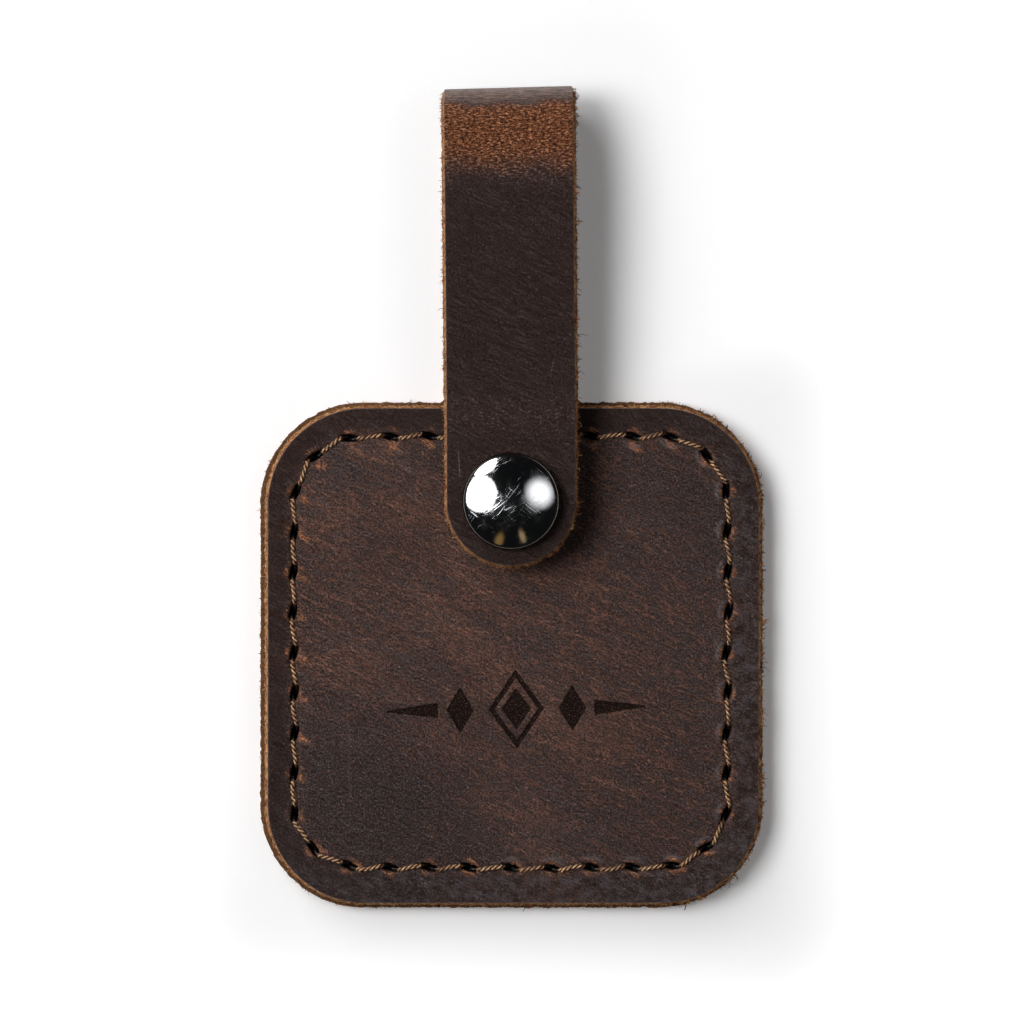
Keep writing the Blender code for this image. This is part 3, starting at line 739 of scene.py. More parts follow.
def back_layer():
    """The back layer with the strap's root, made with its grain up and then turned over."""
    piece = open_plane("back_leather", TAG_WIDTH, BOTTOM_Y, TOP_Y, 0)
    edit(piece, lambda a, b: min(a.y, b.y) > TOP_Y - MM, "EDGE")
    bpy.ops.mesh.subdivide(number_cuts=2)
    close_edit()
    for vertex in piece.data.vertices:
        if abs(vertex.co.x) < TAG_WIDTH / 3:
            vertex.co.x = math.copysign(STRAP_HALF, vertex.co.x)
    root_width = STRAP_HALF + MM
    edit(piece, lambda a, b: max(abs(a.x), abs(b.x)) < root_width and min(a.y, b.y) > 0, "EDGE")
    bpy.ops.mesh.extrude_edges_move(TRANSFORM_OT_translate={"value": (0, 4 * MM, 0)})
    bpy.ops.mesh.select_mode(type="FACE")
    bpy.ops.mesh.select_all(action="SELECT")
    bpy.ops.mesh.dissolve_faces()
    close_edit()

    def in_crook(co):
        return abs(abs(co.x) - STRAP_HALF) < NEARLY and abs(co.y - TOP_Y) < NEARLY

    round_corners(piece, CORNER_RADIUS, lambda co: abs(co.x) > HALF_WIDTH - MM, CORNER_SEGMENTS)
    round_corners(piece, SPARE_RADIUS, lambda co: co.y > TOP_Y + MM, SPARE_SEGMENTS)
    round_corners(piece, STRAP_FILLET, in_crook, FILLET_SEGMENTS)
    subdivide_long_edges(piece, OUTLINE_PITCH)
    raise_edge(piece)
    close_edit()
    points = piece.data.vertices
    chord_y = TOP_Y - EDGE_SLOPE - RIM_RADIUS
    face = max(piece.data.polygons, key=lambda f: len(f.vertices) if f.select else 0)
    corners = []
    for x in (-STRAP_HALF - STRAP_FILLET, STRAP_HALF + STRAP_FILLET):
        corner = Vector((x, chord_y, THICKNESS))
        corners.append(min(face.vertices, key=lambda i: (points[i].co - corner).length))
    edit_these(piece, corners, "VERT")
    bpy.ops.mesh.vert_connect()
    close_edit()
    chord = STRAP_WIDTH + 2 * STRAP_FILLET
    edit(piece, lambda a, b: abs((a - b).length - chord) < 0.3 * MM, "EDGE")
    bpy.ops.mesh.subdivide(number_cuts=round(chord / OUTLINE_PITCH) // 2 * 2 + 1)
    close_edit()

    def main_face(f):
        return len(f.vertices) > 200 and f.center.z > THICKNESS / 2 and f.center.y < chord_y

    edit(piece, main_face, "FACE")
    seam_rings()
    fill_face(piece, turn=BACK_CORNER_TURN)
    edit(piece, lambda f: len(f.vertices) > 20, "FACE")
    to_triangles()
    close_edit()
    close_flesh_side(piece, 0)
    cut_across(piece, ROOT_Y, clear_outer=True, use_fill=True)
    turn_over(piece, THICKNESS / 2)
    face_out(piece)
    count = len(piece.data.polygons)
    panel_hairs(piece, HALF_WIDTH, BOTTOM_Y, TOP_Y, CORNER_RADIUS, 0.3 * MM, THICKNESS)
    dress_grain(piece, -1, 2, HIDE_SHIFT)
    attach(piece, "tag")
    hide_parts("back_panel")
    return [piece, part_fibres(piece, count, "back_fibres")]


# --- materials ----------------------------------------------------------------------------

def tone(red, green, blue):
    """A colour as it is read from a picture, with each part from 0 to 255."""
    def light(value):
        value /= 255
        return value / 12.92 if value <= 0.04045 else ((value + 0.055) / 1.055) ** 2.4
    return (light(red), light(green), light(blue), 1)


class Reading:
    """What a node gives at each point. Sums with it add nodes to the same wiring."""

    def __init__(self, wiring, socket):
        self.wiring, self.socket = wiring, socket

    def __add__(self, other):
        return self.wiring.math("ADD", self, other)

    def __sub__(self, other):
        return self.wiring.math("SUBTRACT", self, other)

    def __rsub__(self, other):
        return self.wiring.math("SUBTRACT", other, self)

    def __mul__(self, other):
        return self.wiring.math("MULTIPLY", self, other)

    def __truediv__(self, other):
        return self.wiring.math("DIVIDE", self, other)

    def __abs__(self):
        return self.wiring.math("ABSOLUTE", self)


class Wiring:
    """Adds nodes to a tree, fed with plain values or with readings of other nodes."""

    def __init__(self, tree):
        self.tree = tree

    def feed(self, socket, value):
        if isinstance(value, Reading):
            self.tree.links.new(value.socket, socket)
        else:
            socket.default_value = value

    def node(self, kind, output, feeds=None, **settings):
        """Adds a node and gives one of its outputs."""
        made = self.tree.nodes.new("ShaderNode" + kind)
        for key, value in settings.items():
            setattr(made, key, value)
        for socket, value in (feeds or {}).items():
            self.feed(made.inputs[socket], value)
        return Reading(self, made.outputs[output])

    def math(self, operation, a, b=0.0):
        return self.node("Math", 0, {0: a, 1: b}, operation=operation)

    def most(self, a, b):
        return self.math("MAXIMUM", a, b)

    def least(self, a, b):
        return self.math("MINIMUM", a, b)

    def vectors(self, operation, *values):
        output = "Value" if operation in ("DISTANCE", "LENGTH") else "Vector"
        return self.node("VectorMath", output, dict(enumerate(values)), operation=operation)

    def parts(self, vector):
        split = self.node("SeparateXYZ", 0, {0: vector}).socket.node
        return [Reading(self, socket) for socket in split.outputs]

    def span(self, value, low, high, out_low=0.0, out_high=1.0, soft=True):
        """Spreads the values between low and high over the given range."""
        feeds = {"Value": value, "From Min": low, "From Max": high,
                 "To Min": out_low, "To Max": out_high}
        kind = "SMOOTHSTEP" if soft else "LINEAR"
        return self.node("MapRange", "Result", feeds, interpolation_type=kind)

    def ramp(self, value, at_none, at_full):
        """at_none where the value is 0, and evenly on to at_full where it is 1."""
        return self.span(value, 0, 1, at_none, at_full, soft=False)

    def noise(self, place, scale, detail, roughness, distortion=0.0, output="Fac"):
        feeds = {"Vector": place, "Scale": scale, "Detail": detail, "Roughness": roughness,
                 "Distortion": distortion}
        return self.node("TexNoise", output, feeds)

    def turn(self, place, angle=0.0, stretch=None, move=(0, 0, 0)):
        """Moves and turns the place by degrees, and then stretches it along its own axes."""
        turned = {"Vector": place, "Rotation": (0, 0, math.radians(angle)), "Location": move}
        turned = self.node("Mapping", "Vector", turned)
        if not stretch:
            return turned
        return self.node("Mapping", "Vector", {"Vector": turned, "Scale": stretch})

    def moved(self, place, move, *grain):
        return self.noise(self.turn(place, move=move), *grain)

    def drawn(self, place, angle, stretch, *grain, move=(0, 0, 0)):
        """Noise drawn out along its own axes, the more the smaller the stretch."""
        return self.noise(self.turn(place, angle, stretch, move), 1.0, *grain)


class Finish(Wiring):
    """A material that is built up node by node, with its colour so far."""

    def __init__(self, name):
        self.material = bpy.data.materials.new(name)
        self.material.use_nodes = True
        super().__init__(self.material.node_tree)
        self.shader = self.tree.nodes["Principled BSDF"]
        self.place = self.node("TexCoord", "Object")

    def attribute(self, name, output="Fac"):
        return self.node("Attribute", output, attribute_name=name)

    def blend(self, share, one, other):
        return self.node("Mix", 2, {0: share, 6: one, 7: other}, data_type="RGBA")

    def tint(self, share, colour):
        self.colour = self.blend(share, self.colour, colour)

    def bump(self, height, distance, under=None):
        feeds = {"Strength": 1.0, "Distance": distance, "Height": height}
        if under:
            feeds["Normal"] = under
        return self.node("Bump", "Normal", feeds)

    def finish(self, roughness, normal, **plain):
        surface = {"Base Color": self.colour, "Roughness": roughness, "Normal": normal}
        for name, value in (surface | plain).items():
            self.feed(self.shader.inputs[name], value)
        return self.material


def ornament_mask(f, flat):
    """The same shapes as the engraving has, with sharp borders."""
    centre_x, centre_y = ORNAMENT_PLACE
    level = f.turn(f.turn(flat, move=(-centre_x, -centre_y, 0)), -ORNAMENT_TILT)
    burr = f.noise(flat, 5.0, 2.0, 0.5, output="Color")
    x, y, _ = f.parts(f.vectors("MULTIPLY_ADD", burr, (RAGGED, RAGGED, 0), level))
    return f.span(ornament(x - RAGGED / 2, y - RAGGED / 2, f.most, f.least), -0.03, 0.05)


def beyond(f, place, middle_y, half_x, half_y):
    """How far outside a rectangle the place lies."""
    x, y, _ = f.parts(place)
    over_x, over_y = f.most(abs(x) - half_x, 0.0), f.most(abs(y - middle_y) - half_y, 0.0)
    return f.math("SQRT", over_x * over_x + over_y * over_y)


def leather():
    """Waxed dark brown hide that turns lighter where it is bent or rubbed."""
    f = Finish("waxed_leather")
    flat = f.attribute("flat", "Vector")
    names = ("depth", "pit", "rub", "pull", "calm", "shade")
    depth, pit, rub, pull, calm, margin = (f.attribute(name) for name in names)
    engraved = f.span(f.attribute("burn"), 0.02, 0.2) * ornament_mask(f, flat)
    x, y, _ = f.parts(flat)

    # broad tone: dark brown, darker with a painted bluish sheen towards the lower left, and warm
    # patches
    broad = f.noise(flat, 0.05, 3, 0.5)
    f.colour = f.blend(f.span(broad, 0.4, 0.6), tone(62, 47, 44), tone(65, 55, 55))
    sheen_corner = f.span(f.vectors("DISTANCE", flat, SHEEN_PLACE), 25.0, 7.0)
    # the lower left is darker, and its bluish grey is painted sheen
    f.tint(sheen_corner * 0.75, tone(45, 40, 43))
    patch = f.moved(flat, (31, 7, 0), 0.11, 4, 0.6)
    f.tint(f.span(patch, 0.5, 0.72, 0, 0.4), tone(88, 58, 46))

    # where the wax is worn: fine streaks that run down to the right
    middle = f.span(abs(x * 0.25 + y + 20.0), 30.0, 6.0)
    right = f.span(x, 4.0, 22.0)
    where = f.drawn(flat, 24, (0.045, 0.13, 0.1), 4, 0.6, move=(5, 3, 0))
    streaked = (f.span(where, 0.38, 0.66, 0.12, 0.74) + middle * 0.3) * f.ramp(sheen_corner, 1.0, 0.45)
    worn = streaked * f.ramp(right, 1.0, 0.5) * f.ramp(calm, 1.0, 0.3)
    crests = f.drawn(flat, 28, (0.5, 3.3, 2), 6, 0.72, 0.7)
    grit = f.drawn(flat, 24, (2.6, 4.4, 3), 4, 0.8, 0.3)

    def strands(angle, stretch, move, width):
        """Thin wandering lines, along the borders of drawn-out patches."""
        cloud = f.drawn(flat, angle, stretch, 1.6, 0.45, 0.9, move=move)
        return f.span(abs(cloud - 0.5), width, width * 0.25)

    lines = f.most(strands(27, (0.13, 0.8, 0.6), (0, 0, 0), 0.022),
                   strands(35, (0.2, 1.2, 0.6), (7, 4, 0), 0.026))
    fine_lines = strands(24, (0.22, 1.9, 0.6), (3, 9, 0), 0.034)
    lines = f.most(lines, fine_lines) * f.span(grit, 0.36, 0.52, 0.35, 1.0)
    ready = crests * 0.62 + grit * 0.38 + worn * 0.1
    share = f.span(ready, 0.52, 0.66) * 0.55 * f.span(worn, 0.05, 1.0, 0.12, 1.0)
    drawn = lines * f.span(streaked, 0.05, 0.8, 0.34, 0.9) * f.ramp(sheen_corner, 1.0, 0.4)
    drawn = drawn * f.ramp(margin, 1.0, 0.45) * f.ramp(calm, 1.0, 0.35)
    f.tint(f.most(share, drawn), tone(186, 126, 102))
    f.tint(right * 0.28, tone(36, 25, 23))

    # fine mottle of the wax
    mottle = f.noise(flat, 3.4, 4, 0.75)
    speckle = f.moved(flat, (2, 5, 0), 4.2, 2, 0.7)
    dusk = f.drawn(flat, 26, (1.4, 2.8, 2), 4, 0.75, move=(3, 9, 4))
    f.tint(f.span(mottle, 0.47, 0.64, 0, 0.5), tone(110, 86, 79))
    f.tint(f.span(speckle, 0.52, 0.63, 0, 0.8), tone(132, 107, 100))
    f.tint(f.span(speckle, 0.49, 0.39, 0, 0.85), tone(19, 11, 10))
    f.tint(f.span(dusk, 0.5, 0.64, 0, 0.6), tone(24, 16, 15))
    f.tint(f.span(speckle, 0.5, 0.6) * (calm * 0.75), tone(116, 88, 80))
    f.tint(f.span(speckle, 0.5, 0.42) * (calm * 0.8), tone(20, 10, 8))
    f.tint(calm * 0.3, tone(48, 25, 20))

    # the margins: darker and redder at the top and left; on the right, greyer with painted
    # grey-blue sheen and mottled with dark brown spots
    upper_left = f.span(y - x, -48.0, 6.0)
    lower_right = margin * (1.0 - upper_left)
    sheen_and_spots = f.moved(flat, (9, 2, 0), 0.7, 5, 0.7)
    # painted grey-blue sheen on the right and lower margins; the next tint adds dark brown spots
    f.tint(lower_right * f.span(sheen_and_spots, 0.47, 0.6, 0, 0.75), tone(104, 93, 96))
    f.tint(lower_right * f.span(sheen_and_spots, 0.48, 0.38, 0, 0.65), tone(28, 16, 13))
    f.tint(f.most(margin, calm * 0.6) * f.ramp(upper_left, 0.16, 0.72), tone(40, 19, 14))

    # single marks: a crease down the left of the tag, and scratches
    wobble = (f.noise(flat, 0.12, 2, 0.5) - 0.5) * 1.6
    for mark_x, mark_y, half_length, lean, half_width, strength in MARKS:
        along = y - mark_y
        aside = x - mark_x + along * lean
        if half_length > CREASE_LENGTH:
            aside = aside + wobble
        here = f.span(abs(aside), half_width, half_width * 0.3)
        here = here * f.span(abs(along), half_length, half_length * 0.7)
        here = here * f.span(crests, 0.4, 0.55, 0.4, 1.0)
        f.tint(here * strength, tone(150, 128, 120))

    # grain: small pebbles with creases between them, and painted shade in the creases
    swirl = f.noise(flat, 1.4, 4.0, 0.5, output="Color")
    wander = f.vectors("MULTIPLY_ADD", swirl, (0.9, 0.9, 0.9), flat)
    pebbles = {"Vector": f.turn(wander, 24, (1.6, 2.5, 2)), "Scale": 1.0}
    crease = f.node("TexVoronoi", "Distance", pebbles, feature="DISTANCE_TO_EDGE")
    valley = f.span(crease, 0.0, 0.22)
    # painted shade darkens the creases of the grain
    f.tint((1.0 - valley) * 0.3, tone(20, 13, 12))

    # where the strap turns over, a painted greyish sheen crossed by dark wrinkles; below that,
    # where it is pulled, orange
    crumb = f.drawn(flat, 0, (2.0, 4.6, 2), 3, 0.8, 0.3)
    wrinkle = f.drawn(flat, 0, (0.6, 4.4, 2), 4, 0.8, 0.2, move=(2, 1, 0))
    grey = f.blend(f.span(wrinkle, 0.4, 0.6), tone(58, 36, 29), tone(172, 138, 122))
    f.tint(f.attribute("turning") * 0.85, grey)
    ragged_pull = pull + (mottle - 0.5) * 1.2
    ashen = f.blend(f.span(crumb, 0.5, 0.6), tone(42, 28, 24), tone(150, 116, 106))
    f.tint(f.span(ragged_pull, 0.02, 0.4, 0, 0.65), ashen)
    orange = f.blend(f.span(crumb, 0.42, 0.54), tone(58, 31, 20), tone(158, 94, 58))
    orange = f.blend(f.span(crumb, 0.54, 0.64), orange, tone(244, 174, 124))
    f.tint(f.span(ragged_pull, 0.2, 0.9, 0, 0.92), orange)

    # rubbed spots, and painted highlights as pale crescents beside the slits
    rubbed = f.span(rub, 0.2, 0.7) * f.span(mottle, 0.44, 0.56, 0.3, 1.0)
    drawn = f.span(rub, 0.02, 0.35) * f.most(fine_lines, lines)
    rubbed = f.most(rubbed, drawn * 0.75)
    orange = f.blend(f.span(speckle, 0.4, 0.6), tone(158, 92, 58), tone(238, 166, 120))
    f.tint(rubbed * 0.9, orange)
    # the pale crescents on the slits' lips are painted highlights
    f.tint(f.attribute("bow") * 0.5, tone(132, 124, 128))

    # rim with a painted highlight line, cut edge and flesh side
    fibre = f.noise(f.turn(flat, 0, (1, 1, 1.5)), 1.5, 6, 0.8, 0.6)
    edge_tone = f.blend(f.span(fibre, 0.42, 0.58), tone(160, 84, 46), tone(255, 198, 138))
    glue = f.span(depth, 1.3, 1.45) * f.span(depth, 1.74, 1.68)
    glue = glue * f.span(f.noise(flat, 1.1, 3, 0.6), 0.4, 0.55, 0.25, 0.95)
    edge_tone = f.blend(glue, edge_tone, tone(46, 24, 13))
    rim_noise = f.noise(flat, 2.2, 4, 0.7)
    # the pale line along the grain's rounded rim is a painted highlight
    rim = f.span(depth, 0.0, 0.06) * f.span(rim_noise, 0.35, 0.6, 0.2, 1.0)
    f.tint(rim * 0.75, tone(168, 142, 134))
    half_x, half_y = ((half - CORNER_RADIUS) / MM for half in (HALF_WIDTH, HALF_HEIGHT))
    outline = beyond(f, flat, MIDDLE_Y / MM, half_x, half_y) + (rim_noise - 0.5) * 0.4
    burr_start = (CORNER_RADIUS - FRONT_STEP) / MM - BURR
    burr = f.span(outline, burr_start, burr_start + 0.15) * f.attribute("burr")
    f.tint(burr * 0.8, tone(186, 122, 80))
    cut = f.span(depth + (rim_noise - 0.5) * 0.22, 0.07, 0.17)
    f.tint(cut, edge_tone)
    suede_noise = f.noise(flat, 4.5, 5, 0.8)
    suede = f.blend(f.span(suede_noise, 0.3, 0.7), tone(96, 62, 40), tone(170, 122, 88))
    flesh = f.span(depth, 1.72, 1.79)
    f.tint(flesh, suede)

    # engraved floor, and painted shade inside the slits
    ash = f.moved(flat, (4, 4, 0), 5.5, 2, 0.8)
    burnt = f.blend(f.span(mottle, 0.4, 0.6), tone(17, 9, 7), tone(38, 24, 19))
    burnt = f.blend(f.span(ash, 0.6, 0.67, 0, 0.8), burnt, tone(150, 128, 112))
    f.tint(engraved * 0.95, burnt)
    # the insides of the slits are painted near black: painted shade
    f.tint(f.span(pit, 0.08, 0.4), tone(9, 5, 4))

    # how shiny
    shine = f.span(mottle, 0.35, 0.65, 0.28, 0.46, soft=False)
    dull = f.most(f.most(f.most(cut, engraved), pit), rubbed * 0.7)
    dull = f.most(dull, f.span(pull, 0, 1) * 0.6)
    gloss = {"Specular IOR Level": f.ramp(dull, 0.42, 0.1)}

    # relief: creases, pores and soft folds in the grain, loose fibre on the cut edge
    pores = f.noise(flat, 7.5, 3, 0.7)
    height = valley * 0.35 + crests + pores * 0.4 + mottle * 0.5 + lines * 0.7
    height = height + crumb * (pull * 1.6) - engraved * 1.6
    fuzz = f.most(cut, flesh) * (fibre + suede_noise)
    relief = f.bump(fuzz, 0.35 * MM, f.bump(height, 0.2 * MM))
    return f.finish(f.ramp(dull, shine, 0.95), relief, **gloss)


def thread_finish():
    f = Finish("twisted_thread")
    speck = f.noise(f.place, 5200, 3, 0.7)
    soil = f.noise(f.place, 420, 3, 0.6)
    f.colour = f.blend(f.span(speck, 0.3, 0.7), tone(118, 68, 38), tone(255, 204, 150))
    f.tint(f.span(soil, 0.45, 0.7, 0, 0.7), tone(98, 54, 30))
    # painted shade in the grooves between the two strands
    f.tint(f.span(f.attribute("groove"), 0.1, 0.8, 0, 0.95), tone(46, 22, 11))
    # painted shade on the thread where it runs down inside the slits
    f.tint(f.attribute("sunk"), tone(12, 7, 5))
    return f.finish(0.36, f.bump(speck, 0.04 * MM))


def chrome():
    """Bright metal with fine scratches, most of them in the middle, and a dull turned edge."""
    f = Finish("mirror_chrome")
    crown = (0.8 * MM, SNAP_Y - 0.4 * MM, CAP_Z + 2.6 * MM)
    middle = f.span(f.vectors("DISTANCE", f.place, crown), 4.2 * MM, 1.0 * MM)
    scratches = 0.0
    for angle, across, seed in ((-38, 8800, 1), (-52, 10400, 4), (38, 9600, 7), (-27, 8200, 11)):
        line = f.drawn(f.place, angle, (260, across, 260), 1, 0.5, 0.2, move=(seed, seed, 0))
        where = f.moved(f.place, (seed, 0, 0), 330, 2, 0.5) + middle * 0.17
        scratches = f.span(line, 0.62, 0.72) * f.span(where, 0.58, 0.72) + scratches
    smear = f.noise(f.place, 520, 4, 0.65) + middle * 0.1
    dents = f.noise(f.place, 1500, 4, 0.7)
    radius = f.vectors("LENGTH", f.vectors("MULTIPLY_ADD", f.place, (1, 1, 0), (0, -SNAP_Y, 0)))
    dark = f.span(radius, 5.62 * MM, 5.8 * MM)
    f.colour = f.blend(dark, tone(232, 233, 236), tone(98, 92, 86))
    rough = f.span(smear, 0.45, 0.75, 0.06, 0.2) + scratches * 0.2
    return f.finish(rough, f.bump(dents - scratches, 0.0025 * MM), Metallic=1.0)


def steel(name, colour_one, colour_two, low, high):
    f = Finish(name)
    cloud = f.noise(f.place, 600, 4, 0.6)
    brushed = f.drawn(f.place, 0, (900, 900, 9000), 3, 0.6)
    f.colour = f.blend(f.span(cloud, 0.3, 0.7), colour_one, colour_two)
    rough = f.span(brushed, 0.3, 0.7, low, high)
    return f.finish(rough, f.bump(brushed, 0.01 * MM), Metallic=1.0)


def give(piece, material):
    piece.data.materials.clear()
    piece.data.materials.append(material)
    for face in piece.data.polygons:
        face.material_index = 0


# --- strap --------------------------------------------------------------------------------

def strap_route():
    """The strap's grain side from its root, round the fold and down past the tip, as (y, z)."""
    crown = 2 * FOLD_RADIUS
    route = [(ROOT_Y + (FOLD_Y - ROOT_Y) * i / REAR_STEPS, 0.0) for i in range(REAR_STEPS)]
    for i in range(FOLD_STEPS):
        a = math.pi * i / FOLD_STEPS
        route.append((FOLD_Y + FOLD_RADIUS * math.sin(a), FOLD_RADIUS - FOLD_RADIUS * math.cos(a)))
    for i in range(FRONT_STEPS):
        t = i / FRONT_STEPS
        drop = (crown - STRAP_TOP_Z) * t * t * (3 - 2 * t)
        route.append((FOLD_Y + (FLAT_Y - FOLD_Y) * t, crown - drop))
    route += [(FLAT_Y - 24 * MM * i / FLAT_STEPS, STRAP_TOP_Z) for i in range(FLAT_STEPS + 1)]
    return np.array(route)


ROUTE = strap_route()
ROUTE_STEPS = np.linalg.norm(np.diff(ROUTE, axis=0), axis=1)
ROUTE_LENGTHS = np.concatenate(([0], np.cumsum(ROUTE_STEPS)))


def flat_at(y):
    """The place along the flat strap of a place on its front leg."""
    start = REAR_STEPS + FOLD_STEPS
    return float(np.interp(-y, -ROUTE[start:, 0], ROUTE_LENGTHS[start:]))


def fold_flat(degrees):
    """The place along the flat strap of an angle of the fold."""
    return float(ROUTE_LENGTHS[REAR_STEPS]) + FOLD_RADIUS * math.radians(degrees)


SNAP_FLAT = flat_at(SNAP_Y)
TIP_FLAT = SNAP_FLAT + STRAP_HALF


def strap_strip():
    """The strap as it was cut, flat and with its grain down; its length runs along Y."""
    piece = open_plane("strap_strip", STRAP_WIDTH, STRIP_START, SNAP_FLAT, -THICKNESS)
    edit(piece, lambda a, b: min(a.y, b.y) > SNAP_FLAT - MM, "EDGE")
    bpy.ops.mesh.delete(type="EDGE_FACE")
    bpy.ops.mesh.select_mode(type="VERT")
    close_edit()
    edit(piece, lambda co: co.y > SNAP_FLAT - MM and co.x > 0, "VERT")
    centre = (0, SNAP_FLAT, -THICKNESS)
    bpy.ops.mesh.spin(steps=TIP_SEGMENTS, angle=-math.pi, center=centre, axis=(0, 0, 1))
    bpy.ops.mesh.select_all(action="SELECT")
    bpy.ops.mesh.remove_doubles(threshold=MERGE_DISTANCE)
    bpy.ops.mesh.edge_face_add()
    close_edit()
    round_corners(piece, SPARE_RADIUS, lambda co: co.y < 0, SPARE_SEGMENTS)
    subdivide_long_edges(piece, STRAP_PITCH)
    raise_edge(piece)
    for _ in range(3):
        inset(STRAP_PITCH)
    span = round(STRAP_WIDTH / STRAP_PITCH)
    fill_face(piece, span, STRIP_TURN)
    fill_edges(piece, open_edges(piece), span, STRIP_TURN)
    face_out(piece)
    return piece


def dress_strap(piece):
    """Presses the soft lumps of worn leather into the flat strap and marks it for its finish."""
    co = places(piece)
    depth = -co[:, 2] / MM
    s = co[:, 1].copy()
    flat = np.column_stack((co[:, 0], ROOT_Y + s + HIDE_SHIFT, depth * MM))
    top = 1 - smooth_step(0.0, 0.25, depth)
    flesh = smooth_step(1.7, 1.8, depth)
    plane = np.column_stack((co[:, :2], np.zeros(len(co))))
    soft = 0.03 * lumps(plane, 9 * MM, 21) + 0.02 * lumps(plane, 2.6 * MM, 22)
    near_cut = smooth_step(0.4 * MM, 2.4 * MM, s)
    co[:, 2] += (soft - 0.02) * near_cut * top * MM
    co[:, 2] -= 0.05 * (lumps(plane, 0.7 * MM, 23) + 0.4) * near_cut * flesh * MM
    wall = smooth_step(0.15, 0.5, depth) * near_cut
    fray = 0.6 * lumps(co, 0.5 * MM, 24) + 0.5 * lumps(co, 0.2 * MM, 25)
    out = unit(np.column_stack((co[:, 0], np.maximum(s - SNAP_FLAT, 0))))
    co[:, :2] += out * (wall * (fray + 0.1) * 0.16 * MM)[:, None]
    set_places(piece, co)
    s = co[:, 1]
    end = fold_flat(180)
    far = s + 1.1 * MM * lumps(plane, 2.4 * MM, 27) + 0.6 * MM * lumps(plane, 6 * MM, 28)
    pull = smooth_step(fold_flat(126), fold_flat(164), far)
    pull *= 1 - smooth_step(end + 0.8 * MM, end + 9 * MM, far)
    pull += 0.2 * bell((s - flat_at(TOP_Y - 1.5 * MM)) / (3.2 * MM))
    # the band where the strap turns over the fold, which the finish paints with a greyish sheen
    turning = smooth_step(fold_flat(60), fold_flat(80), far)
    turning *= 1 - smooth_step(fold_flat(126), fold_flat(154), far)
    shade = 0.75 * smooth_step(end + 2 * MM, end + 9 * MM, s)
    mark_leather(piece, flat, depth=depth, pull=pull, turning=turning, calm=1, shade=shade)
    mark(piece, run=s / MM)


def bend_along(piece, route):
    """Bends the flat strap along the route, its grain outwards."""
    curve = line_curve("route", twist_mode="MINIMUM")
    for point in add_run(curve, [(0, y, z) for y, z in route]):
        point.tilt = math.pi / 2
    path = put_in_scene("route", curve)
    bender = piece.modifiers.new("bend", "CURVE")
    bender.object, bender.deform_axis = path, "POS_Y"
    take(piece)
    bpy.ops.object.modifier_apply(modifier=bender.name)
    bpy.data.objects.remove(path, do_unlink=True)


def settle(piece):
    """The fold lies a little to the left, and its right end a little higher than its left."""
    co = places(piece)
    run = read_run(piece)
    fold, straight = fold_flat(100) / MM, (SNAP_FLAT - 9 * MM) / MM
    share = np.interp(run, (ROOT_BEND / MM, fold, straight), (0, 1, 0))
    near_fold = np.interp(run, (fold - 25, fold, fold + 22), (0, 1, 0))
    co[:, 0] -= STRAP_LEAN * share
    co[:, 1] += FOLD_TILT * co[:, 0] * near_fold * near_fold
    set_places(piece, co)


def strap():
    """The strap with its grain outwards, in pieces cut at the part's joints; the two legs go with
    their bodies.
    """
    pieces = [("strap_root_bend", "tag", "strap_rear", 0.0, ROOT_BEND),
              ("strap_rear_leather", "strap_rear", None, ROOT_BEND, fold_flat(0))]
    bodies = ("strap_rear", "fold_1", "fold_2", "fold_3", "fold_4", "strap_front")
    for i, ends in enumerate(zip(bodies, bodies[1:])):
        pieces.append((f"strap_bend_{i + 1}", *ends, fold_flat(36 * i), fold_flat(36 * (i + 1))))
    pieces.append(("strap_front_leather", "strap_front", None, fold_flat(180), TIP_FLAT + MM))
    piece = strap_strip()
    cut_across(piece, 0, clear_inner=True)
    for _, _, _, start, _ in pieces[1:]:
        cut_across(piece, start)
    strap_hairs(piece)
    drill(piece, SNAP_FLAT, -3 * MM, 3 * MM, HOLE_RADIUS)
    dress_strap(piece)
    turn_over(piece, 0)
    bend_along(piece, ROUTE)
    settle(piece)
    run = read_run(piece) * MM
    middles = [run[list(face.vertices)].mean() for face in piece.data.polygons]
    made = []
    for name, body, other, start, end in pieces:
        part = put_in_scene(name, piece.data.copy())
        part.data.name = name
        edit(part, lambda f: not start < middles[f.index] < end, "FACE")
        bpy.ops.mesh.delete(type="FACE")
        close_edit()
        if other:
            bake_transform(part)
        else:
            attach(part, body)
        made.append(part)
    bpy.data.objects.remove(piece, do_unlink=True)
    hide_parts("strap_rear_leg")
    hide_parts("strap_rear_leg")
    for i in range(4):
        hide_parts(f"strap_fold_{i + 1}")
    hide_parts("strap_front_leg")
    return made


# --- sewing thread ------------------------------------------------------------------------

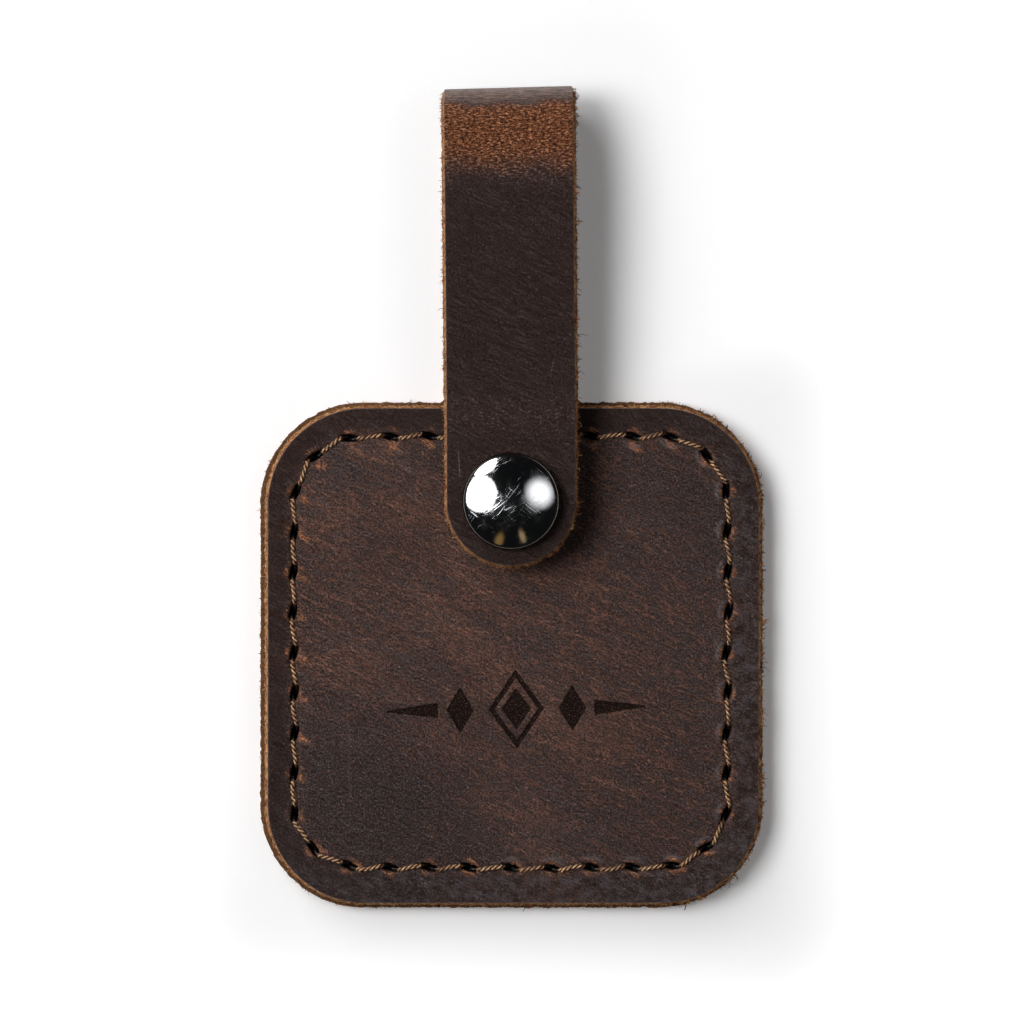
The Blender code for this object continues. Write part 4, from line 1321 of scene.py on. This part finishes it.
def stitch_path(first):
    """The run of one of the two threads, which changes sides in each slit."""
    points = []
    for i in range(STITCH_COUNT):
        side = 1 if (i % 2 == 0) == first else -1
        (a, a_along, a_across), (b, b_along, b_across) = SLITS[i], SLITS[(i + 1) % STITCH_COUNT]
        outer, inner = (THREAD_FRONT_Z, 2.5 * MM) if side > 0 else (THREAD_BACK_Z, 1.4 * MM)
        lift = rng.normal(0.02, 0.03) * MM * max(side, 0)
        sway = rng.normal(0, 0.06 * MM)
        start, end = a + a_along * ENTRY, b - b_along * ENTRY
        way = (end - start) / np.linalg.norm(end - start)
        aside = np.array((way[1], -way[0])) * sway
        half_way, near_top = (inner + outer) / 2, outer - 0.03 * MM * side
        points.append((*(a + a_along * 0.35 * MM + a_across * 0.2 * MM), inner))
        points.append((*(start - way * 0.08 * MM), half_way))
        points.append((*(start + way * 0.3 * MM), near_top))
        for t in (0.3, 0.5, 0.7):
            arch = math.sin(t * math.pi)
            points.append((*(start + (end - start) * t + aside * arch), outer + lift * arch))
        points.append((*(end - way * 0.3 * MM), near_top))
        points.append((*(end + way * 0.08 * MM), half_way))
        points.append((*(b - b_along * 0.35 * MM - b_across * 0.2 * MM), inner))
    return np.array(points)


def rounded(points, pitch):
    """A closed smooth run through the points, with steps of an even length."""
    fine = []
    count = len(points)
    for i in range(count):
        p0, p1, p2, p3 = (points[(i + k) % count] for k in (-1, 0, 1, 2))
        for t in np.arange(0, 1, 0.1):
            once, twice = p2 - p0, 2 * p0 - 5 * p1 + 4 * p2 - p3
            thrice = 3 * p1 - p0 - 3 * p2 + p3
            fine.append(0.5 * (2 * p1 + once * t + twice * t**2 + thrice * t**3))
    fine = np.array(fine + [fine[0]])
    lengths = np.concatenate(([0], np.cumsum(np.linalg.norm(np.diff(fine, axis=0), axis=1))))
    stations = np.linspace(0, lengths[-1], round(lengths[-1] / pitch), endpoint=False)
    return np.column_stack([np.interp(stations, lengths, fine[:, k]) for k in range(3)])


def two_ply():
    """The cross-section of two strands side by side."""
    around = []
    for side in (PLY_RADIUS, -PLY_RADIUS):
        for k in range(PLY_SIDES):
            a = math.radians(PLY_ARC * (k / (PLY_SIDES - 1) - 0.5))
            around.append((side * (0.93 + math.cos(a)), side * math.sin(a), 0))
    curve = line_curve("two_ply", dimensions="2D")
    add_run(curve, around, closed=True)
    return put_in_scene("two_ply", curve)


def sewing_thread(name, first, node):
    path = rounded(stitch_path(first), THREAD_PITCH)
    section = two_ply()
    curve = line_curve(name, twist_mode="Z_UP", bevel_mode="OBJECT", bevel_object=section)
    turns = round(len(path) * THREAD_PITCH / TWIST_LENGTH)
    for i, point in enumerate(add_run(curve, path, closed=True)):
        point.tilt = -math.tau * ((turns * i / len(path)) % 1)
    made = as_mesh(put_in_scene(name, curve))
    bpy.data.objects.remove(section, do_unlink=True)
    face_out(made)
    co = places(made)
    rings = co.reshape(-1, 2 * PLY_SIDES, 3)
    reach = np.linalg.norm(rings - rings.mean(1)[:, None], axis=2).ravel()
    height = co[:, 2] / MM
    sunk = smooth_step(0.75, 1.1, height) * (1 - smooth_step(3.2, 3.72, height))
    mark(made, groove=1 - smooth_step(0.45, 1.0, reach / (2 * PLY_RADIUS)), sunk=sunk)
    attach(made, "tag")
    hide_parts(node)
    return made


# --- press stud ---------------------------------------------------------------------------

def lathe(name, profile, body, node):
    """Turns a profile of (radius, height) about the press stud's axis; both its ends may meet."""
    take()
    at_axis = profile[0][0] < TURN_CORE, profile[-1][0] < TURN_CORE
    profile = [(max(radius, TURN_CORE), height) for radius, height in profile]
    radius, height = profile[0]
    bpy.ops.mesh.primitive_circle_add(
        vertices=ROUND_STEPS, radius=radius, location=(0, SNAP_Y, height)
    )
    piece = bpy.context.object
    piece.name = piece.data.name = name
    apply_place()
    edit_all(piece, "EDGE")
    if at_axis[0]:
        bpy.ops.mesh.edge_face_add()
    for next_radius, next_height in profile[1:]:
        rise, grow = next_height - height, next_radius / radius
        bpy.ops.mesh.extrude_edges_move(TRANSFORM_OT_translate={"value": (0, 0, rise)})
        bpy.ops.transform.resize(value=(grow, grow, 1), center_override=(0, SNAP_Y, 0))
        radius, height = next_radius, next_height
    if at_axis[1]:
        bpy.ops.mesh.edge_face_add()
    bpy.ops.mesh.select_all(action="SELECT")
    bpy.ops.mesh.remove_doubles(threshold=MERGE_DISTANCE)
    bpy.ops.mesh.normals_make_consistent(inside=False)
    close_edit()
    bpy.ops.object.shade_smooth_by_angle(angle=math.radians(40))
    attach(piece, body)
    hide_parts(node)
    return piece


def bow(middle, radius, start, end, steps):
    """Points on an arc of the profile, its angles counted in degrees from straight up."""
    angles = [math.radians(start + (end - start) * i / steps) for i in range(steps + 1)]
    return [(middle[0] + radius * math.sin(a), middle[1] + radius * math.cos(a)) for a in angles]


def millimetres(*points):
    return [(r * MM, z * MM) for r, z in points]


def press_stud():
    """The cap, rivet, socket, stud and post, as turned from thin sheet."""
    edge_z = CAP_Z + CAP_EDGE
    ring = CAP_RADIUS - CAP_EDGE
    dome_z = edge_z - math.sqrt((DOME_RADIUS - CAP_EDGE) ** 2 - ring**2)
    meeting = math.degrees(math.atan2(ring, edge_z - dome_z))
    outside = bow((0, dome_z), DOME_RADIUS, 0, meeting, 26)[:-1]
    outside += bow((ring, edge_z), CAP_EDGE, meeting, 180, 18)
    inside = bow((0, dome_z), DOME_RADIUS - SHEET, 0, meeting, 12)[:-1]
    inside += bow((ring, edge_z), CAP_EDGE - SHEET, meeting, 180, 8)
    lip = [(CAP_LIP, CAP_Z), (CAP_LIP, CAP_Z + SHEET)]
    cap = lathe("domed_cap", outside + lip + inside[::-1], "strap_front", "cap_shell")
    rivet = millimetres(
        (0, 9.82), (4.1, 9.82), (4.2, 9.9), (4.2, 10.35), (4.3, 10.42), (5.25, 10.42),
        (5.3, 10.36), (5.3, 10.1), (5.25, 10.03), (4.5, 10.03), (4.43, 9.97), (4.43, 9.5),
        (4.38, 9.43), (1.3, 9.43), (1.25, 9.4), (1.25, 6.62), (1.4, 6.63), (1.85, 6.6),
        (1.9, 6.55), (1.86, 6.47), (1.35, 6.34), (1.2, 6.35), (0.88, 6.5), (0.85, 6.6),
        (0.85, 9.4), (0, 9.42),
    )
    rivet = lathe("rivet", rivet, "strap_front", "cap_rivet")
    socket = millimetres((1.5, 7.1), (1.52, 7.125))
    socket += bow((4.7 * MM, 6.625 * MM), 0.5 * MM, 0, 90, 8)
    socket += bow((4.7 * MM, 5.2 * MM), 0.5 * MM, 90, 180, 8)
    socket += millimetres(
        (3.9, 4.7), (3.6, 4.74), (3.3, 4.7), (2.8, 4.7), (2.6, 4.72), (2.48, 4.78), (2.45, 4.87),
        (2.45, 5.05), (4.85, 5.05), (4.85, 6.775), (1.5, 6.775), (1.5, 7.1),
    )
    socket = lathe("socket_drum", socket, "strap_front", "snap_socket")
    stud = millimetres(
        (1.45, 4.1), (4.72, 4.1), (4.84, 4.14), (4.9, 4.22), (4.9, 4.3), (4.84, 4.4),
        (4.72, 4.45), (3.4, 4.45), (3.1, 4.5), (2.8, 4.45), (2.3, 4.45), (2.05, 4.5), (1.85, 4.62),
        (1.75, 4.85), (1.75, 5.45), (1.85, 5.6), (2.05, 5.78), (2.15, 5.92), (2.1, 6.02),
        (1.95, 6.1), (1.75, 6.16), (1.55, 6.175), (1.4, 6.14), (1.32, 6.05), (1.45, 5.95),
        (1.6, 5.92), (1.8, 5.88), (1.8, 5.8), (1.45, 5.5), (1.45, 4.1),
    )
    stud = lathe("stud_shell", stud, "tag", "snap_stud")
    post = millimetres(
        (0.85, 2.05), (4.8, 2.05), (4.8, 2.45), (1.25, 2.45), (1.25, 5.3), (1.45, 5.52),
        (1.6, 5.62), (1.45, 5.7), (1.25, 5.72), (1.0, 5.5), (0.85, 5.3), (0.85, 2.05),
    )
    post = lathe("post_tube", post, "tag", "snap_post")
    return cap, (rivet, socket, stud, post)


def wire_spring():
    """The hairpin of wire that grips the stud's neck."""
    reach = 1.75 * MM + 0.2 * MM + WIRE_RADIUS
    toe = [(reach + SPRING_TOE - SPRING_TOE * math.cos(a), SPRING_ARM + SPRING_TOE * math.sin(a))
           for a in np.linspace(0, math.pi / 2, 9)]
    other_toe = [(-x, y) for x, y in reversed(toe)]
    bend = [(reach * math.cos(a), -SPRING_ARM + reach * math.sin(a))
            for a in np.linspace(math.pi, math.tau, 29)]
    curve = line_curve("wire_spring", bevel_depth=WIRE_RADIUS, bevel_resolution=5,
                       use_fill_caps=True)
    add_run(curve, [(x, SNAP_Y + y, SPRING_Z) for x, y in other_toe + bend + toe])
    made = as_mesh(put_in_scene("wire_spring", curve))
    edit_all(made, "VERT")
    bpy.ops.mesh.remove_doubles(threshold=MERGE_DISTANCE)
    close_edit()
    face_out(made)
    bpy.ops.object.shade_smooth_by_angle(angle=math.radians(50))
    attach(made, "strap_front")
    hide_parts("snap_spring")
    return made


# --- floor, light and camera ------------------------------------------------------------------

def white_floor():
    """Pale paper, which glows a little less near the tag for the camera and in reflections."""
    take()
    bpy.ops.mesh.primitive_plane_add(size=3, location=(0, 0, -0.02 * MM))
    floor = bpy.context.object
    floor.name = "floor"
    f = Finish("white_paper")
    away = f.span(f.vectors("LENGTH", f.place), 0.1, 0.3)
    f.colour = f.blend(away, tone(250, 250, 251), tone(150, 151, 153))
    relief = f.bump(f.noise(f.place, 900, 3, 0.6), 0.02 * MM)
    f.finish(0.75, relief, **{"Specular IOR Level": 0.2})
    strap_end = FOLD_Y + FOLD_RADIUS
    strap_middle, strap_reach = (TOP_Y + strap_end) / 2, (strap_end - TOP_Y) / 2
    from_tag = beyond(f, f.place, MIDDLE_Y, HALF_WIDTH, HALF_HEIGHT)
    from_strap = beyond(f, f.place, strap_middle, STRAP_HALF, strap_reach)
    strength = f.span(f.least(from_tag, from_strap * 0.38), 0.2 * MM, 24 * MM, 0.11, 0.6)
    glow = f.node("Emission", 0, {"Color": (1, 1, 1, 1), "Strength": strength})
    paper = Reading(f, f.shader.outputs[0])
    both = f.node("AddShader", 0, {0: paper, 1: glow})
    seen = f.most(f.node("LightPath", "Is Camera Ray"), f.node("LightPath", "Is Glossy Ray"))
    shown = f.node("MixShader", 0, {0: seen, 1: paper, 2: both})
    f.feed(f.tree.nodes["Material Output"].inputs[0], shown)
    give(floor, f.material)


def lamp(name, way, distance, size, watts, core, colour=(1, 1, 1), length=0):
    """A softbox, brightest within its core and fading to its border."""
    data = bpy.data.lights.new(name, "AREA")
    data.shape, data.size, data.energy, data.color = "DISK", size, watts, colour
    if length:
        data.shape, data.size_y = "ELLIPSE", length
    data.use_nodes = True
    w = Wiring(data.node_tree)
    off = w.vectors("DISTANCE", w.node("NewGeometry", "Parametric"), (0.5, 0.5, 0))
    w.feed(w.tree.nodes["Emission"].inputs["Strength"], w.span(off, 0.5, core / 2))
    made = put_in_scene(name, data)
    tilt, heading = (math.radians(a) for a in way)
    across = math.sin(tilt)
    way = Vector((across * math.cos(heading), across * math.sin(heading), math.cos(tilt)))
    made.location = Vector((0, 0, 5 * MM)) + way * distance
    made.rotation_euler = way.to_track_quat("Z", "Y").to_euler()


def studio():
    white_floor()
    lamp("key_softbox", (36.5, 166), 0.6, 0.45, 4.5, 0.62)
    lamp("high_softbox", (56, 126), 0.7, 0.38, 1.7, 0.9)
    lamp("fill_dish", (34, 16), 0.62, 0.46, 0.72, 0.3)
    lamp("gold_board", (47, -107), 0.7, 0.15, 0.024, 0.3, (1.0, 0.6, 0.2), 0.34)
    lamp("gold_board_right", (42, -72), 0.7, 0.1, 0.02, 0.3, (1.0, 0.7, 0.38), 0.3)
    world = bpy.data.worlds.new("studio_air")
    bpy.context.scene.world = world
    world.use_nodes = True
    w = Wiring(world.node_tree)
    rise = w.parts(w.node("TexCoord", "Generated"))[2]
    background = w.tree.nodes["Background"].inputs
    w.feed(background["Strength"], w.span(rise, 0.55, 0.1, 0.005, 0.07))
    w.feed(background["Color"], (0.9, 0.95, 1, 1))

    data = bpy.data.cameras.new("camera")
    camera = put_in_scene("camera", data)
    middle_x = (PHOTO_SIDE / 2 - BODY_MIDDLE_X_PX) * PIXEL
    middle_y = MIDDLE_Y + (BODY_MIDDLE_Y_PX - PHOTO_SIDE / 2) * PIXEL + CAMERA_RAISE
    camera.location = (middle_x, middle_y, FRONT_Z + CAMERA_DISTANCE)
    data.sensor_width = SENSOR
    data.lens = LENS_TRIM * SENSOR * CAMERA_DISTANCE / (PHOTO_SIDE * PIXEL)
    data.clip_start = 0.01
    bpy.context.scene.camera = camera
    bpy.context.scene.view_settings.view_transform = "Standard"


LEATHER, THREAD, CHROME = leather(), thread_finish(), chrome()
STEEL = steel("plated_steel", tone(196, 194, 190), tone(214, 212, 208), 0.22, 0.36)
WIRE = steel("spring_steel", tone(170, 160, 140), tone(200, 190, 170), 0.3, 0.45)
finishes = {"cap_shell": CHROME, "snap_spring": WIRE}
for name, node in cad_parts.items():
    plain = LEATHER if "strap" in name or "panel" in name else STEEL
    give(node, THREAD if "thread" in name else finishes.get(name, plain))
for piece in front_layer() + back_layer() + strap():
    give(piece, LEATHER)
    take(piece)
    bpy.ops.object.shade_smooth_by_angle(angle=math.radians(70))
for name, node in (("thread_one", "saddle_thread_first"), ("thread_two", "saddle_thread_second")):
    give(sewing_thread(name, name == "thread_one", node), THREAD)
    bpy.ops.object.shade_smooth()
cap, inner_parts = press_stud()
give(cap, CHROME)
for piece in inner_parts:
    give(piece, STEEL)
give(wire_spring(), WIRE)
studio()
